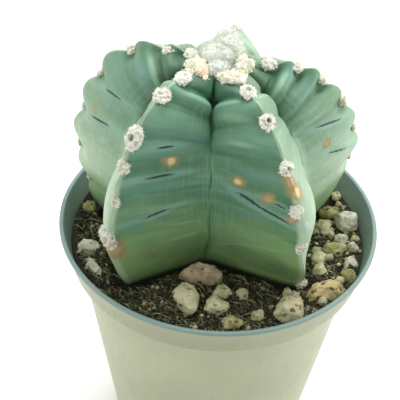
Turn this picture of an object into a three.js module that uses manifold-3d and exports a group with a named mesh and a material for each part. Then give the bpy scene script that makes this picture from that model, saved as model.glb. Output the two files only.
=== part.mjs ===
// Potted bishop's cap cactus: a five-ribbed star-shaped stem in a small plastic nursery pot.
// Millimetres, +Z up. The origin is the centre of the pot's flat underside, and the side that
// the plant shows best, with a valley between two ribs, faces -Y.

import * as THREE from 'three';
import { mergeVertices } from 'three/addons/utils/BufferGeometryUtils.js';
import Module from 'manifold-3d';

const wasm = await Module();
wasm.setup();

// Pot sizes
const POT_HEIGHT = 96;
const LIP_RADIUS = 55;
const COLLAR_FOOT_RADIUS = 51.5;
const COLLAR_HEIGHT = 13;
const WALL_TOP_RADIUS = 48.2;
const BASE_RADIUS = 35.4;
const WALL = 1.2;
const FLOOR = 1.6;
const POT_SIDES = 48;

// Soil sizes
const SOIL_DROP = 8;
const SOIL_TOP = POT_HEIGHT - SOIL_DROP;
const GAP = 0.3;
const HOLE_CLEARANCE = 0.8;

// The stem's axis stands off the pot's axis at the soil and leans forward as it rises.
const STEM_X = -1.6;
const STEM_Y = 6.5;
const LEAN_X = -2.0 / 70;
const LEAN_Y = -4.5 / 70;

// Heights of the stem's outlines are counted from the lip's plane.
// The crest is the outer edge of a rib, the valley is the crease between two ribs.
const CREST = [
  [0, -26], [16, -25.5], [32, -21], [43.6, -8], [47.7, 6.5], [49.1, 22],
  [46.3, 37.3], [40, 51.2], [30.1, 60.7], [18.4, 63.5], [7.3, 62.5], [0, 61],
];
const VALLEY = [
  [0, -26], [9, -25.5], [17, -20], [21.5, -8], [22.5, 5], [23, 18],
  [22.3, 30], [19.5, 42.5], [15, 52.5], [10.5, 58.5], [5.5, 60.8], [0, 61],
];

// Each rib: its direction in degrees, the turn of its upper end, its reach as a share of the
// common crest, its extra height near the top, how much its two flanks belly out at the foot and
// in full, the depth of its notches, and the places of its areoles, in millimetres along the crest
// from the growing point.
const RIBS = [
  { angle: -131.3, twist: 4, reach: 0.97, rise: 1.5, belly: [[0.17, 0.08], [0.02, 0.04]], notch: 1.5,
    areoles: [16, 26, 42.3, 53.2, 66.5, 83.5] },
  { angle: -52, twist: -5.5, reach: 0.968, rise: 0, belly: [[0.02, 0.04], [0.05, 0.2]], notch: 1.5,
    areoles: [20.5, 32.5, 48, 64, 80, 104] },
  { angle: 17, twist: -6, reach: 1.04, rise: -0.5, belly: [[0.03, 0.08], [0.03, 0.08]], notch: 2.2,
    areoles: [17, 27, 38.5, 52, 67, 82] },
  { angle: 82, twist: -2, reach: 1.0, rise: -1.6, belly: [[0.03, 0.08], [0.03, 0.08]], notch: 1.8,
    areoles: [18, 31, 48, 64, 81] },
  { angle: 169, twist: -4, reach: 1.025, rise: 1.0, belly: [[0.03, 0.08], [0.03, 0.08]], notch: 2.8,
    areoles: [18.5, 30.5, 47.5, 63.4, 79.3, 94] },
];
// Depth of the valley that follows each rib, counter-clockwise, as a share of the common valley.
const VALLEY_SHARE = [1.0, 1.35, 1.25, 1.1, 1.35];
const STEM_ROWS = 36;
const HOLE_ROWS = 22;
// Places of the columns on a flank, from the crest at 0 to the valley at 1.
const FLANK_COLUMNS = [0, 0.1, 0.3, 0.58, 0.84];

// Pumice stones on the soil: place, length, width, height and turn in degrees.
const STONES = [
  [-44, -12.5, 7, 6.5, 6, 20], [-41.5, -21.5, 8, 4, 3.5, -55], [-46.4, 8.5, 4.6, 5, 4, 0],
  [-4, -23.4, 14, 6.8, 8, 2], [-9, -33.6, 8.2, 13, 7.5, 12], [3, -30, 6, 5.5, 5, 30],
  [9.5, -29.6, 4.2, 4, 3.6, 0], [1, -37.2, 8, 6.4, 6.4, -15], [6.4, -42.4, 6.5, 5, 4.5, 10],
  [14.8, -39.6, 4.8, 3.8, 3.4, 40], [25.4, -36.6, 10, 9.4, 9, 25], [39, 13.6, 6, 4.6, 4.2, 0],
  [37.1, 6.3, 6.4, 6.2, 5.5, 50], [45.5, 8.6, 8.2, 8.6, 7.6, 10], [43.4, 0.3, 4.6, 5, 4.4, 0],
  [41.2, -5.6, 7.4, 5.2, 5, 10], [35.6, -10.2, 5.6, 5.2, 4.8, 30], [35.4, -16, 4.8, 4.6, 4.2, 0],
  [37.3, -25.8, 13.6, 7.8, 7, 38], [45.4, -17.2, 4.8, 5.4, 4.8, 0], [46.4, -11.2, 4.8, 4.6, 4.2, 20],
  [42.6, 23.8, 4.2, 3.2, 3, 60], [-14, 46, 6, 4.6, 4.6, 15], [47.6, -3.3, 3.8, 4, 3.8, 0],
];

// A smooth number from -1 to 1 that wanders with its place; it roughens soil and stones.
function wander(x, y, z, seed) {
  const a = Math.sin(1.7 * x + 2.3 * y - 1.1 * z + 1.3 * seed);
  const b = Math.sin(-2.9 * x + 1.9 * y + 2.1 * z + 4.1 * seed);
  const c = Math.sin(3.7 * x - 3.1 * y + 3.3 * z + 2.7 * seed);
  return (a + b + c) / 3;
}

function smoothStep(value) {
  const t = Math.min(1, Math.max(0, value));
  return t * t * (3 - 2 * t);
}

// A smooth curve through outline points, sampled evenly along its parameter.
function outlineCurve(points, count) {
  const curve = new THREE.CatmullRomCurve3(points.map(([r, z]) => new THREE.Vector3(r, 0, z)));
  return curve.getPoints(count - 1).map((p) => [Math.max(0, p.x), p.z]);
}

// A closed solid from rows of points that go round it, bottom to top; the first and last row
// shrink to one point each.
function solidFromRows(rows) {
  const around = rows[1].length;
  const positions = [];
  const triangles = [];
  positions.push(...rows[0][0]);
  for (let j = 1; j < rows.length - 1; j += 1) {
    for (const point of rows[j]) {
      positions.push(...point);
    }
  }
  positions.push(...rows[rows.length - 1][0]);
  const top = positions.length / 3 - 1;
  const index = (j, i) => 1 + (j - 1) * around + (i % around);
  for (let i = 0; i < around; i += 1) {
    triangles.push(0, index(1, i + 1), index(1, i));
    triangles.push(top, index(rows.length - 2, i), index(rows.length - 2, i + 1));
    for (let j = 1; j < rows.length - 2; j += 1) {
      triangles.push(index(j, i), index(j, i + 1), index(j + 1, i + 1));
      triangles.push(index(j, i), index(j + 1, i + 1), index(j + 1, i));
    }
  }
  const geometry = new THREE.BufferGeometry();
  geometry.setAttribute('position', new THREE.Float32BufferAttribute(positions, 3));
  geometry.setIndex(triangles);
  return geometry;
}

function toSolid(geometry) {
  const plain = geometry.clone();
  plain.deleteAttribute('normal');
  plain.deleteAttribute('uv');
  const merged = mergeVertices(plain, 1e-4);
  const vertProperties = new Float32Array(merged.attributes.position.array);
  const triVerts = new Uint32Array(merged.index.array);
  return new wasm.Manifold(new wasm.Mesh({ numProp: 3, vertProperties, triVerts }));
}

function toGeometry(solid) {
  const mesh = solid.getMesh();
  const geometry = new THREE.BufferGeometry();
  geometry.setAttribute('position', new THREE.BufferAttribute(new Float32Array(mesh.vertProperties), 3));
  geometry.setIndex(new THREE.BufferAttribute(new Uint32Array(mesh.triVerts), 1));
  geometry.computeVertexNormals();
  return geometry;
}

// The pot's outline, from the middle of its underside up the outside and down the inside.
function potOutline() {
  const step = POT_HEIGHT - COLLAR_HEIGHT;
  return [
    [0, 0], [BASE_RADIUS - 1.4, 0], [BASE_RADIUS - 0.4, 0.5], [BASE_RADIUS, 1.6],
    [WALL_TOP_RADIUS, step - 1], [WALL_TOP_RADIUS + 0.5, step - 0.2], [COLLAR_FOOT_RADIUS - 0.3, step],
    [COLLAR_FOOT_RADIUS, step + 0.3], [LIP_RADIUS - 0.8, POT_HEIGHT - 2], [LIP_RADIUS, POT_HEIGHT - 1.4],
    [LIP_RADIUS, POT_HEIGHT - 0.4], [LIP_RADIUS - 0.4, POT_HEIGHT], [LIP_RADIUS - 1.2, POT_HEIGHT],
    [LIP_RADIUS - 1.6, POT_HEIGHT - 0.5], [LIP_RADIUS - 2, POT_HEIGHT - 2],
    [COLLAR_FOOT_RADIUS - WALL + 0.2, step + 1.9], [COLLAR_FOOT_RADIUS - WALL - 0.4, step + WALL],
    [WALL_TOP_RADIUS - 0.7, step + WALL - 0.2], [WALL_TOP_RADIUS - WALL, step - 0.4],
    [BASE_RADIUS - WALL, FLOOR + 1.2], [BASE_RADIUS - WALL - 0.9, FLOOR], [0, FLOOR],
  ];
}

function potGeometry() {
  const points = potOutline().map(([r, z]) => new THREE.Vector2(r, z));
  const geometry = new THREE.LatheGeometry(points, POT_SIDES);
  return geometry.rotateX(Math.PI / 2);
}

// One point of the stem's surface at a row of the outlines, between a rib and its neighbour.
function stemPoint(crest, valley, rib, next, share, t, side, row, grow) {
  const turn = Math.min(1, Math.max(-1, (crest[1] - 20) / 40));
  const start = rib.angle + rib.twist * turn;
  const span = (next.angle - rib.angle + 360) % 360;
  const end = start + span + (next.twist - rib.twist) * turn;
  const half = THREE.MathUtils.degToRad((end - start) / 2);
  const owner = side === 0 ? rib : next;
  const middle = Math.sin(Math.PI * row);
  const widest = Math.exp(-(((crest[1] - 28) / 20) ** 2));
  const crestRadius = crest[0] * (1 + (owner.reach - 1) * widest) + grow;
  const crestHeight = crest[1] + owner.rise * smoothStep((crest[1] - 20) / 40);
  const valleyRadius = valley[0] * (1 + (share - 1) * middle) + grow;
  // A straight flank runs from crest to valley; the belly rounds it outwards, less so at the foot.
  const turned = t * half;
  const straight = (crestRadius * valleyRadius * Math.sin(half))
    / (crestRadius * Math.sin(turned) + valleyRadius * Math.sin(half - turned));
  const [foot, full] = owner.belly[side === 0 ? 1 : 0];
  const belly = foot + (full - foot) * smoothStep((crest[1] + 12) / 42);
  const radius = straight * (1 + belly * Math.sin(Math.PI * t ** 0.7))
      - (grow > 0 ? 0 : notch(owner, crest, t));
  const height = crestHeight + (valley[1] - crestHeight) * t;
  const angle = THREE.MathUtils.degToRad(side === 0 ? start : end) + (side === 0 ? turned : -turned);
  const rise = height + SOIL_DROP;
  return [
    STEM_X + LEAN_X * rise + radius * Math.cos(angle),
    STEM_Y + LEAN_Y * rise + radius * Math.sin(angle),
    POT_HEIGHT + height,
  ];
}

// The crest rises in an arc from each areole to the next and dips sharply at the areoles, but not
// at the growing point or below the last areole. The dip fades down the flank.
function notch(rib, crest, t) {
  const stops = [0, ...rib.areoles, rib.areoles[rib.areoles.length - 1] + 8];
  const after = stops.findIndex((stop) => stop > crest[2]);
  if (after < 1) {
    return 0;
  }
  const share = (crest[2] - stops[after - 1]) / (stops[after] - stops[after - 1]);
  let arc = Math.sin(Math.PI * share);
  if (after === 1) {
    arc = Math.cos(Math.PI * share / 2);
  }
  if (after === stops.length - 1) {
    arc = Math.sin(Math.PI * share / 2);
  }
  return rib.notch * (1 - arc) * Math.exp(-((t / 0.16) ** 2));
}

// Outline points with a third number: the length along the outline from the growing point.
function crestWithLengths(count) {
  const points = outlineCurve(CREST, count);
  let length = 0;
  for (let j = count - 1; j >= 0; j -= 1) {
    if (j < count - 1) {
      length += Math.hypot(points[j][0] - points[j + 1][0], points[j][1] - points[j + 1][1]);
    }
    points[j].push(length);
  }
  return points;
}

function stemGeometry(count, grow) {
  const crests = crestWithLengths(count);
  const valleys = outlineCurve(VALLEY, count);
  const rows = crests.map((crest, j) => {
    const row = j / (count - 1);
    if (j === 0 || j === count - 1) {
      const rise = crest[1] + SOIL_DROP;
      const drop = j === 0 ? grow : 0;
      return [[STEM_X + LEAN_X * rise, STEM_Y + LEAN_Y * rise, POT_HEIGHT + crest[1] - drop]];
    }
    const points = [];
    RIBS.forEach((rib, k) => {
      const next = RIBS[(k + 1) % RIBS.length];
      const put = (t, side) => {
        const point = stemPoint(crest, valleys[j], rib, next, VALLEY_SHARE[k], t, side, row, grow);
        point[2] -= grow * (1 - smoothStep(row * 4));
        points.push(point);
      };
      FLANK_COLUMNS.forEach((t) => put(t, 0));
      put(1, 0);
      FLANK_COLUMNS.slice(1).reverse().forEach((t) => put(t, 1));
    });
    return points;
  });
  return solidFromRows(rows);
}

// A rough rounded lump: a ball with few faces, stretched, turned and roughened.
function lump(place, size, turn, seed, detail, grow) {
  const geometry = new THREE.IcosahedronGeometry(1, detail);
  const at = geometry.attributes.position;
  const point = new THREE.Vector3();
  for (let i = 0; i < at.count; i += 1) {
    point.fromBufferAttribute(at, i);
    const swell = 1 + 0.14 * wander(1.3 * point.x, 1.3 * point.y, 1.3 * point.z, seed);
    const along = (axis) => point[axis] * (swell * size[axis] / 2 + grow);
    at.setXYZ(i, along('x'), along('y'), along('z'));
  }
  geometry.rotateZ(THREE.MathUtils.degToRad(turn));
  geometry.translate(place.x, place.y, place.z);
  return geometry;
}

// The place on a rib's crest at a length along it from the growing point.
function crestPlace(rib, length) {
  const next = RIBS[(RIBS.indexOf(rib) + 1) % RIBS.length];
  const closer = (best, c) => (Math.abs(c[2] - length) < Math.abs(best[2] - length) ? c : best);
  const crest = crestWithLengths(STEM_ROWS * 4).reduce(closer);
  return new THREE.Vector3(...stemPoint(crest, [1, crest[1]], rib, next, 1, 0, 0, 0.5, 0));
}

// Small woolly tufts stand in the notches of the crests, sunk well into the stem.
function areoleTufts(grow) {
  const tufts = [];
  RIBS.forEach((rib, k) => {
    rib.areoles.forEach((place, i) => {
      const middle = crestPlace(rib, place).lerp(new THREE.Vector3(STEM_X, STEM_Y, SOIL_TOP + 25), 0.015);
      const width = 5.2 + 0.9 * wander(k, i, 0, 5);
      tufts.push(lump(middle, new THREE.Vector3(width, width, width), 40 * i, 10 * k + i, 1, grow));
    });
  });
  return tufts;
}

// Felted wool and dried flower remains over the growing point: lumps that run into each other.
function crownLumps(grow) {
  const middle = crestPlace(RIBS[3], 0);
  const lumps = [
    [0, 1.6, 2.2, 13, 12, 7], [-3, 5.4, 3, 10, 9, 7], [3.4, 7, 3, 9, 9, 7.5], [1, 11, 2.6, 8, 7, 6],
    [5.3, -7.3, 1.6, 8.8, 6.2, 5.4], [8.4, -2.6, 2.6, 6.6, 5.8, 5.4], [-0.6, -7.4, 1.4, 6.4, 5, 4.8],
    [-4.2, -6.2, 2.2, 5.4, 4.6, 4.8], [1.8, -4.4, 1.8, 9, 6, 5],
  ];
  return lumps.map(([x, y, z, long, wide, high], i) => {
    const place = new THREE.Vector3(middle.x + x, middle.y + y, middle.z + z);
    return lump(place, new THREE.Vector3(long, wide, high), 25 * i, 50 + i, 1, grow);
  });
}

function stones(grow) {
  return STONES.map(([x, y, long, wide, high, turn], i) => {
    const place = new THREE.Vector3(x, y, SOIL_TOP + 0.18 * high + soilBump(x, y));
    return lump(place, new THREE.Vector3(long, wide, high), turn, 90 + i, 1, grow);
  });
}

// The soil's surface rises and falls by about a millimetre.
function soilBump(x, y) {
  return 0.7 * wander(0.11 * x, 0.11 * y, 0, 7) + 0.5 * wander(0.35 * x, 0.35 * y, 0, 8);
}

// The soil fills the pot from its floor to the surface, a little clear of the pot's inside.
function soilGeometry() {
  const step = POT_HEIGHT - COLLAR_HEIGHT;
  const outside = [
    [BASE_RADIUS - WALL - 1.4, FLOOR + GAP], [BASE_RADIUS - WALL - 0.4, FLOOR + 1.3],
    [WALL_TOP_RADIUS - WALL - 0.4, step - 0.2], [WALL_TOP_RADIUS - 1.1, step + WALL + 0.2],
    [COLLAR_FOOT_RADIUS - WALL - 0.8, step + WALL + 0.4], [COLLAR_FOOT_RADIUS - WALL - 0.3, step + 2.4],
    [COLLAR_FOOT_RADIUS - WALL + 0.3, step + 4.2],
  ];
  const surface = [47.5, 43, 38, 32.5, 26.5, 20, 11];
  const around = 44;
  const ring = (radius, height) => {
    const points = [];
    for (let i = 0; i < around; i += 1) {
      const angle = (2 * Math.PI * i) / around;
      const x = radius * Math.cos(angle);
      const y = radius * Math.sin(angle);
      points.push([x, y, height(x, y)]);
    }
    return points;
  };
  const rows = [[[0, 0, FLOOR + GAP]]];
  outside.forEach(([r, z]) => rows.push(ring(r, () => z)));
  surface.forEach((r) => rows.push(ring(r, (x, y) => SOIL_TOP + soilBump(x, y))));
  rows.push([[0, 0, SOIL_TOP]]);
  return solidFromRows(rows);
}

function joinAll(geometries) {
  return geometries.map(toSolid).reduce((whole, piece) => whole.add(piece));
}

function material(color, roughness) {
  return new THREE.MeshStandardMaterial({ color, roughness, metalness: 0 });
}

const POT_PLASTIC = material('#a9b8a0', 0.45);
const SOIL_MIX = material('#3a3526', 0.95);
const STEM_GREEN = material('#5c8c72', 0.55);
const WOOL = material('#d9d5c4', 0.95);
const PUMICE = material('#b9b08c', 0.9);

const object = new THREE.Group();

function add(name, geometry, finish) {
  const mesh = new THREE.Mesh(geometry, finish);
  mesh.name = name;
  object.add(mesh);
}

add('pot', potGeometry(), POT_PLASTIC);

const stem = joinAll([stemGeometry(STEM_ROWS, 0), ...areoleTufts(0)]).subtract(joinAll(crownLumps(GAP)));
add('cactus', toGeometry(stem), STEM_GREEN);

const crown = joinAll(crownLumps(0));
add('crown_wool', toGeometry(crown), WOOL);

const soil = toSolid(soilGeometry())
  .subtract(joinAll([stemGeometry(HOLE_ROWS, HOLE_CLEARANCE), ...areoleTufts(GAP)]))
  .subtract(joinAll(stones(GAP)));
add('soil', toGeometry(soil), SOIL_MIX);

stones(0).forEach((geometry, i) => {
  add(`stone_${String(i + 1).padStart(2, '0')}`, toGeometry(toSolid(geometry)), PUMICE);
});

export default object;
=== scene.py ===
# %% [markdown]
# # A potted bishop's cap cactus
# The plant is one living stem with five thick ribs, a tuft of wool in each notch of its crests and a
# felt cap over its growing point. It stands in dark peat with pumice on top, in a thin plastic pot.
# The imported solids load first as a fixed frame. Every piece below is drawn round them, in metres.

# %% The frame and the tools
import math
import bmesh
import bpy
import numpy as np
from mathutils import Matrix, Vector


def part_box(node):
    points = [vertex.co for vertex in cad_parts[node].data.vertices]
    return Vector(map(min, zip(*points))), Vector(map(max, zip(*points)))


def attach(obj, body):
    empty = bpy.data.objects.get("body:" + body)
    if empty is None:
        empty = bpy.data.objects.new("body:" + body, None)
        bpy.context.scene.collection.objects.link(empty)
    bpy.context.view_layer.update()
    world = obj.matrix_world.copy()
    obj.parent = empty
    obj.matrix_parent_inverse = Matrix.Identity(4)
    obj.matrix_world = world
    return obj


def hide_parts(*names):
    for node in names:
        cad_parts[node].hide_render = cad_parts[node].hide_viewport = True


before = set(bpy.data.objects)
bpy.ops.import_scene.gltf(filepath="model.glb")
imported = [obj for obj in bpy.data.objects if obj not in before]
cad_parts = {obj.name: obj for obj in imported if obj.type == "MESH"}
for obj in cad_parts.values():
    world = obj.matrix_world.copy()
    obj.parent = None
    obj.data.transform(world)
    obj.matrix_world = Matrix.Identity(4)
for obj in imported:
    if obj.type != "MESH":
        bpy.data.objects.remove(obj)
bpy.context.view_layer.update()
MM = 0.001

# %% [markdown]
# ## The camera
# The plant is seen from in front and from above, close to life size. The place, aim and tilt come from
# fitting the round lip and the crests of the ribs to the picture, so the frame is the picture's own.

# %% Camera
CAMERA_PLACE = Vector((0, -0.29896, 0.36175))
CAMERA_AIM = Vector((-0.006703, 0, 0.103024))
CAMERA_TILT = 0.05141
CAMERA_LENS = 103.694

ahead = (CAMERA_AIM - CAMERA_PLACE).normalized()
sideways = ahead.cross(Vector((0, 0, 1))).normalized()
upwards = sideways.cross(ahead)
across = math.cos(CAMERA_TILT) * sideways + math.sin(CAMERA_TILT) * upwards
above = math.cos(CAMERA_TILT) * upwards - math.sin(CAMERA_TILT) * sideways
camera = bpy.data.objects.new("camera", bpy.data.cameras.new("camera"))
bpy.context.scene.collection.objects.link(camera)
camera.data.lens = CAMERA_LENS
camera.data.sensor_width = 36
camera.data.clip_start = 0.01
camera.data.clip_end = 20
for column, axis in enumerate((across, above, -ahead, CAMERA_PLACE)):
    for line in range(3):
        camera.matrix_world[line][column] = axis[line]
bpy.context.scene.camera = camera
print("camera looks down by", round(math.degrees(math.asin(-ahead.z)), 1), "degrees")

# %% [markdown]
# ## Two helpers for every node tree
# Node trees draw both the shapes and the finishes. One helper adds a node, sets it and fills or links
# its inputs. A second turns a colour written as people write it, in sRGB, to the linear light values
# that the shaders work in.

# %% Node and colour helpers
def put(tree, kind, *inputs, **settings):
    """Add a node with its settings. Its inputs get values, nodes or sockets, in order or by name."""
    kind, preset = kind if isinstance(kind, tuple) else (kind, {})
    node = tree.nodes.new(kind)
    for name, value in {**preset, **settings}.items():
        setattr(node, name, value)
    sockets = [socket for socket in node.inputs if socket.enabled]
    keyed = inputs[0] if inputs and isinstance(inputs[0], dict) else dict(enumerate(inputs))
    for key, value in keyed.items():
        socket = sockets[key] if isinstance(key, int) else next(s for s in sockets if s.name == key)
        if isinstance(value, bpy.types.Node):
            value = next(output for output in value.outputs if output.enabled)
        if isinstance(value, bpy.types.NodeSocket):
            tree.links.new(value, socket)
        else:
            socket.default_value = value
    return node


def linear(colour):
    """Turn an sRGB colour in hex to linear red, green, blue and a full alpha."""
    parts = [int(colour[place:place + 2], 16) / 255 for place in (0, 2, 4)]
    return [c / 12.92 if c <= 0.04045 else ((c + 0.055) / 1.055) ** 2.4 for c in parts] + [1]


# Kinds of node that come again and again, some with the setting that goes with them.
MATH, VECTOR = "ShaderNodeMath", "ShaderNodeVectorMath"
NOISE, RANGE = "ShaderNodeTexNoise", "ShaderNodeMapRange"
SPLIT, JOIN = "ShaderNodeSeparateXYZ", "ShaderNodeCombineXYZ"
POSITION, MOVE = "GeometryNodeInputPosition", "GeometryNodeSetPosition"
TIMES, PLUS, MINUS, OVER, POWER, TIMES_PLUS, LESSER = [(MATH, {"operation": name}) for name in (
    "MULTIPLY", "ADD", "SUBTRACT", "DIVIDE", "POWER", "MULTIPLY_ADD", "MINIMUM")]
SINE, COSINE, EXPONENT, ABSOLUTE, FLOOR, FRACTION, REMAINDER = [(MATH, {"operation": name}) for name in (
    "SINE", "COSINE", "EXPONENT", "ABSOLUTE", "FLOOR", "FRACT", "MODULO")]
VECTOR_TIMES, VECTOR_PLUS, VECTOR_MINUS, VECTOR_TIMES_PLUS, VECTOR_SCALED, VECTOR_LENGTH, VECTOR_UNIT = [
    (VECTOR, {"operation": name}) for name in (
        "MULTIPLY", "ADD", "SUBTRACT", "MULTIPLY_ADD", "SCALE", "LENGTH", "NORMALIZE")]
SOFT_RANGE = (RANGE, {"interpolation_type": "SMOOTHSTEP"})
ABOVE, BELOW = [("FunctionNodeCompare", {"operation": name}) for name in ("GREATER_THAN", "LESS_THAN")]
BOTH, EITHER = [("FunctionNodeBooleanMath", {"operation": name}) for name in ("AND", "OR")]
MIX_COLOUR, MIX_VECTOR = [("ShaderNodeMix", {"data_type": kind}) for kind in ("RGBA", "VECTOR")]
(STORE_NUMBER, STORE_VECTOR), (SAMPLE_NUMBER, SAMPLE_VECTOR) = [
    [(node, {"data_type": kind, "domain": "POINT"}) for kind in ("FLOAT", "FLOAT_VECTOR")]
    for node in ("GeometryNodeStoreNamedAttribute", "GeometryNodeSampleIndex")]
(NAMED_NUMBER, NAMED_VECTOR), (RANDOM_NUMBER, RANDOM_VECTOR) = [
    [(node, {"data_type": kind}) for kind in ("FLOAT", "FLOAT_VECTOR")]
    for node in ("GeometryNodeInputNamedAttribute", "FunctionNodeRandomValue")]
print("mid green in linear light:", [round(c, 3) for c in linear("5a8a66")[:3]])

# %% [markdown]
# ## A tree with named sizes, and running it
# Each tree takes a start mesh and named inputs. It is run once on a host object, and the result is
# kept as a plain mesh, so nothing in the finished file depends on a live modifier.

# %% Start, end and run a tree
def new_tree(name, inputs):
    """Start a geometry tree and return it with the outputs of its input node."""
    tree = bpy.data.node_groups.new(name, "GeometryNodeTree")
    tree.interface.new_socket("Geometry", in_out="INPUT", socket_type="NodeSocketGeometry")
    for label, kind in inputs.items():
        tree.interface.new_socket(label, in_out="INPUT", socket_type="NodeSocket" + kind)
    tree.interface.new_socket("Material", in_out="INPUT", socket_type="NodeSocketMaterial")
    tree.interface.new_socket("Geometry", in_out="OUTPUT", socket_type="NodeSocketGeometry")
    return tree, put(tree, "NodeGroupInput").outputs


def end_tree(tree, geometry, given):
    """Close a tree: smooth shading, real geometry for every copy, and the material."""
    smooth = put(tree, "GeometryNodeSetShadeSmooth", geometry)
    real = put(tree, "GeometryNodeRealizeInstances", smooth)
    finished = put(tree, "GeometryNodeSetMaterial", {"Geometry": real, "Material": given["Material"]})
    put(tree, "NodeGroupOutput", finished)


def grow(name, start, tree, sizes):
    """Run a tree on a start mesh and keep what it makes as one plain mesh object."""
    piece = bpy.data.objects.new(name, start)
    bpy.context.scene.collection.objects.link(piece)
    rule = piece.modifiers.new("rule", "NODES")
    rule.node_group = tree
    for item in tree.interface.items_tree:
        if item.in_out == "INPUT" and item.name in sizes:
            rule[item.identifier] = sizes[item.name]
    drawn = bpy.context.evaluated_depsgraph_get()
    made = piece.evaluated_get(drawn)
    plain = bpy.data.meshes.new_from_object(made, preserve_all_data_layers=True, depsgraph=drawn)
    piece.modifiers.remove(rule)
    piece.data = plain
    plain.name = name
    print(name, len(plain.polygons), "faces")
    return piece


def start_mesh(name, points, edges=(), faces=(), **facts):
    """Make a mesh from points, with a named number or vector stored at each point."""
    mesh = bpy.data.meshes.new(name)
    mesh.from_pydata([tuple(point) for point in points], edges, faces)
    for label, values in facts.items():
        values = np.asarray(values, np.float32)
        kind, field = ("FLOAT_VECTOR", "vector") if values.ndim == 2 else ("FLOAT", "value")
        mesh.attributes.new(label, kind, "POINT").data.foreach_set(field, values.ravel())
    return mesh


def keep(piece, slot, *nodes):
    """Fix a finished piece to the one body and hide the solids it stands for. The slot is not used."""
    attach(piece, "root")
    if nodes:
        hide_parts(*nodes)
    return piece


# %% [markdown]
# ## The stem's rule
# A bishop's cap grows by a rule. Five crests stand round one axis with a valley between each pair.
# The outline of the crest and the outline of the valley give the form from the foot to the growing
# point, and each flank between them is a straight wall with a slight belly. The same named outlines
# and ribs are used in the solids, so both follow one plant. All the numbers are in millimetres.

# %% Outlines and ribs
LIP_HEIGHT = 96
SOIL_HEIGHT = 88
STEM_AXIS = (-1.6, 6.5)
STEM_LEAN = (-2 / 70, -4.5 / 70)
CREST = [
    (0, -26), (16, -25.5), (32, -21), (43.6, -8), (47.7, 6.5), (49.1, 22),
    (46.3, 37.3), (40, 51.2), (30.1, 60.7), (18.4, 63.5), (7.3, 62.5), (0, 61),
]
VALLEY = [
    (0, -26), (9, -25.5), (17, -20), (21.5, -8), (22.5, 5), (23, 18),
    (22.3, 30), (19.5, 42.5), (15, 52.5), (10.5, 58.5), (5.5, 60.8), (0, 61),
]
# An areole is its place along the crest from the growing point, the width, thickness and length of
# its pad, how deep its hole is, and for one how far it sits to the side. A rib has a belly and a pale
# wax share for the flank before it and for the flank after it. That share is partly real wax and partly
# painted light, and it is nil on the two flanks that face the front. A belly is given at the foot, in
# full and at the top, a wax share at the top and at the foot. The foot gives how far the crest and the
# valley after it turn aside where they go into the soil, in degrees, and how much that valley deepens there.
RIBS = [
    dict(angle=-131.3, twist=4, reach=0.97, rise=1.5, belly=((0.13, 0.13, -0.12), (0.02, 0.04, 0.04)),
         notch=1.5, foot=(5, -6.5, 0.16), furrow=1.8, bloom=((0.6, 1), (0, 0)),
         areoles=[(18, 4.8, 3, 6, 0), (27.5, 5.4, 3.2, 5.6, 0.3), (43.4, 5.6, 3.4, 8, 0.7),
                  (53.8, 4, 2.6, 4.8, 0.2), (67, 3.4, 2, 4, 0.6), (84.2, 7, 3.4, 10, 0.3, -1.8)]),
    dict(angle=-52, twist=-5.5, reach=0.968, rise=0, belly=((0.02, 0.04, 0.04), (-0.02, 0.15, -0.01)),
         notch=1.5, foot=(4, 0, 0), furrow=1.8, bloom=((0, 0), (0.4, 0.9)),
         areoles=[(20.5, 4.8, 3, 5.2, 0.6), (32.5, 5, 3, 5.4, 0.9), (48, 4.4, 3, 4.8, 0.4),
                  (64, 4.2, 3, 5, 0), (80, 4, 2.4, 4.4, 0.4), (104, 4, 2.4, 4, 0.4)]),
    dict(angle=17, twist=-6, reach=1.04, rise=-2, belly=((0.03, 0.08, 0.08),) * 2,
         notch=2.2, foot=(0, 0, 0), furrow=3.4, bloom=((0.1, 0.85), (0.4, 0.7)),
         areoles=[(19, 5, 3.2, 5, 0), (28, 4, 2.8, 4.4, 0.2), (38.5, 3, 2.4, 4.6, 0.3),
                  (52, 3.2, 2.2, 4.2, 0.4), (67, 2.6, 1.6, 3.4, 0.6), (82, 2.6, 1.6, 3.2, 0.5)]),
    dict(angle=82, twist=-2, reach=1.0, rise=-3.4, belly=((0.03, 0.08, 0.08),) * 2,
         notch=1.4, foot=(0, 0, 0), furrow=1.8, bloom=((0.6, 0.8), (0.8, 0.8)),
         areoles=[(18, 3.6, 2.6, 3.6, 0), (31, 3.8, 2.4, 4.2, 0.2), (48, 4, 2.4, 4.4, 0.5),
                  (64, 3.8, 2.2, 4, 0.4), (81, 3.4, 2, 3.8, 0.5)]),
    dict(angle=169, twist=-4, reach=1.025, rise=1.0, belly=((0.03, 0.08, 0.08),) * 2,
         notch=2.8, foot=(0, 0, 0), furrow=1.7, bloom=((0.5, 0.6), (0.1, 0.8)),
         areoles=[(11.5, 4.6, 3, 4.2, 0), (19, 4.6, 3, 4.4, 0.3), (31.5, 3, 2.4, 4.6, 0),
                  (47.5, 2.6, 1.6, 3.4, 0.2),
                  (63.4, 2.8, 1.6, 3.4, 0.5), (79.3, 3, 1.8, 3.4, 0.6), (94, 3, 1.8, 3, 0.5)]),
]
# How far out the valley after each rib lies, beside the outline. Then the rows of points on the hidden
# foot and on the body, and the length of crest at which the two meet.
VALLEY_SHARE = [1.0, 1.35, 1.25, 1.1, 1.35]
FOOT_ROWS = 30
BODY_ROWS = 345
FOOT_START = 110
ROWS = FOOT_ROWS + BODY_ROWS
print(len(RIBS), "ribs,", sum(len(rib["areoles"]) for rib in RIBS), "areoles,", ROWS, "rows")


# %% [markdown]
# A smooth curve runs through each outline's few points. Rows are laid on the crest at even steps of
# its real length, close together above the soil and far apart on the hidden foot.

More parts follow.
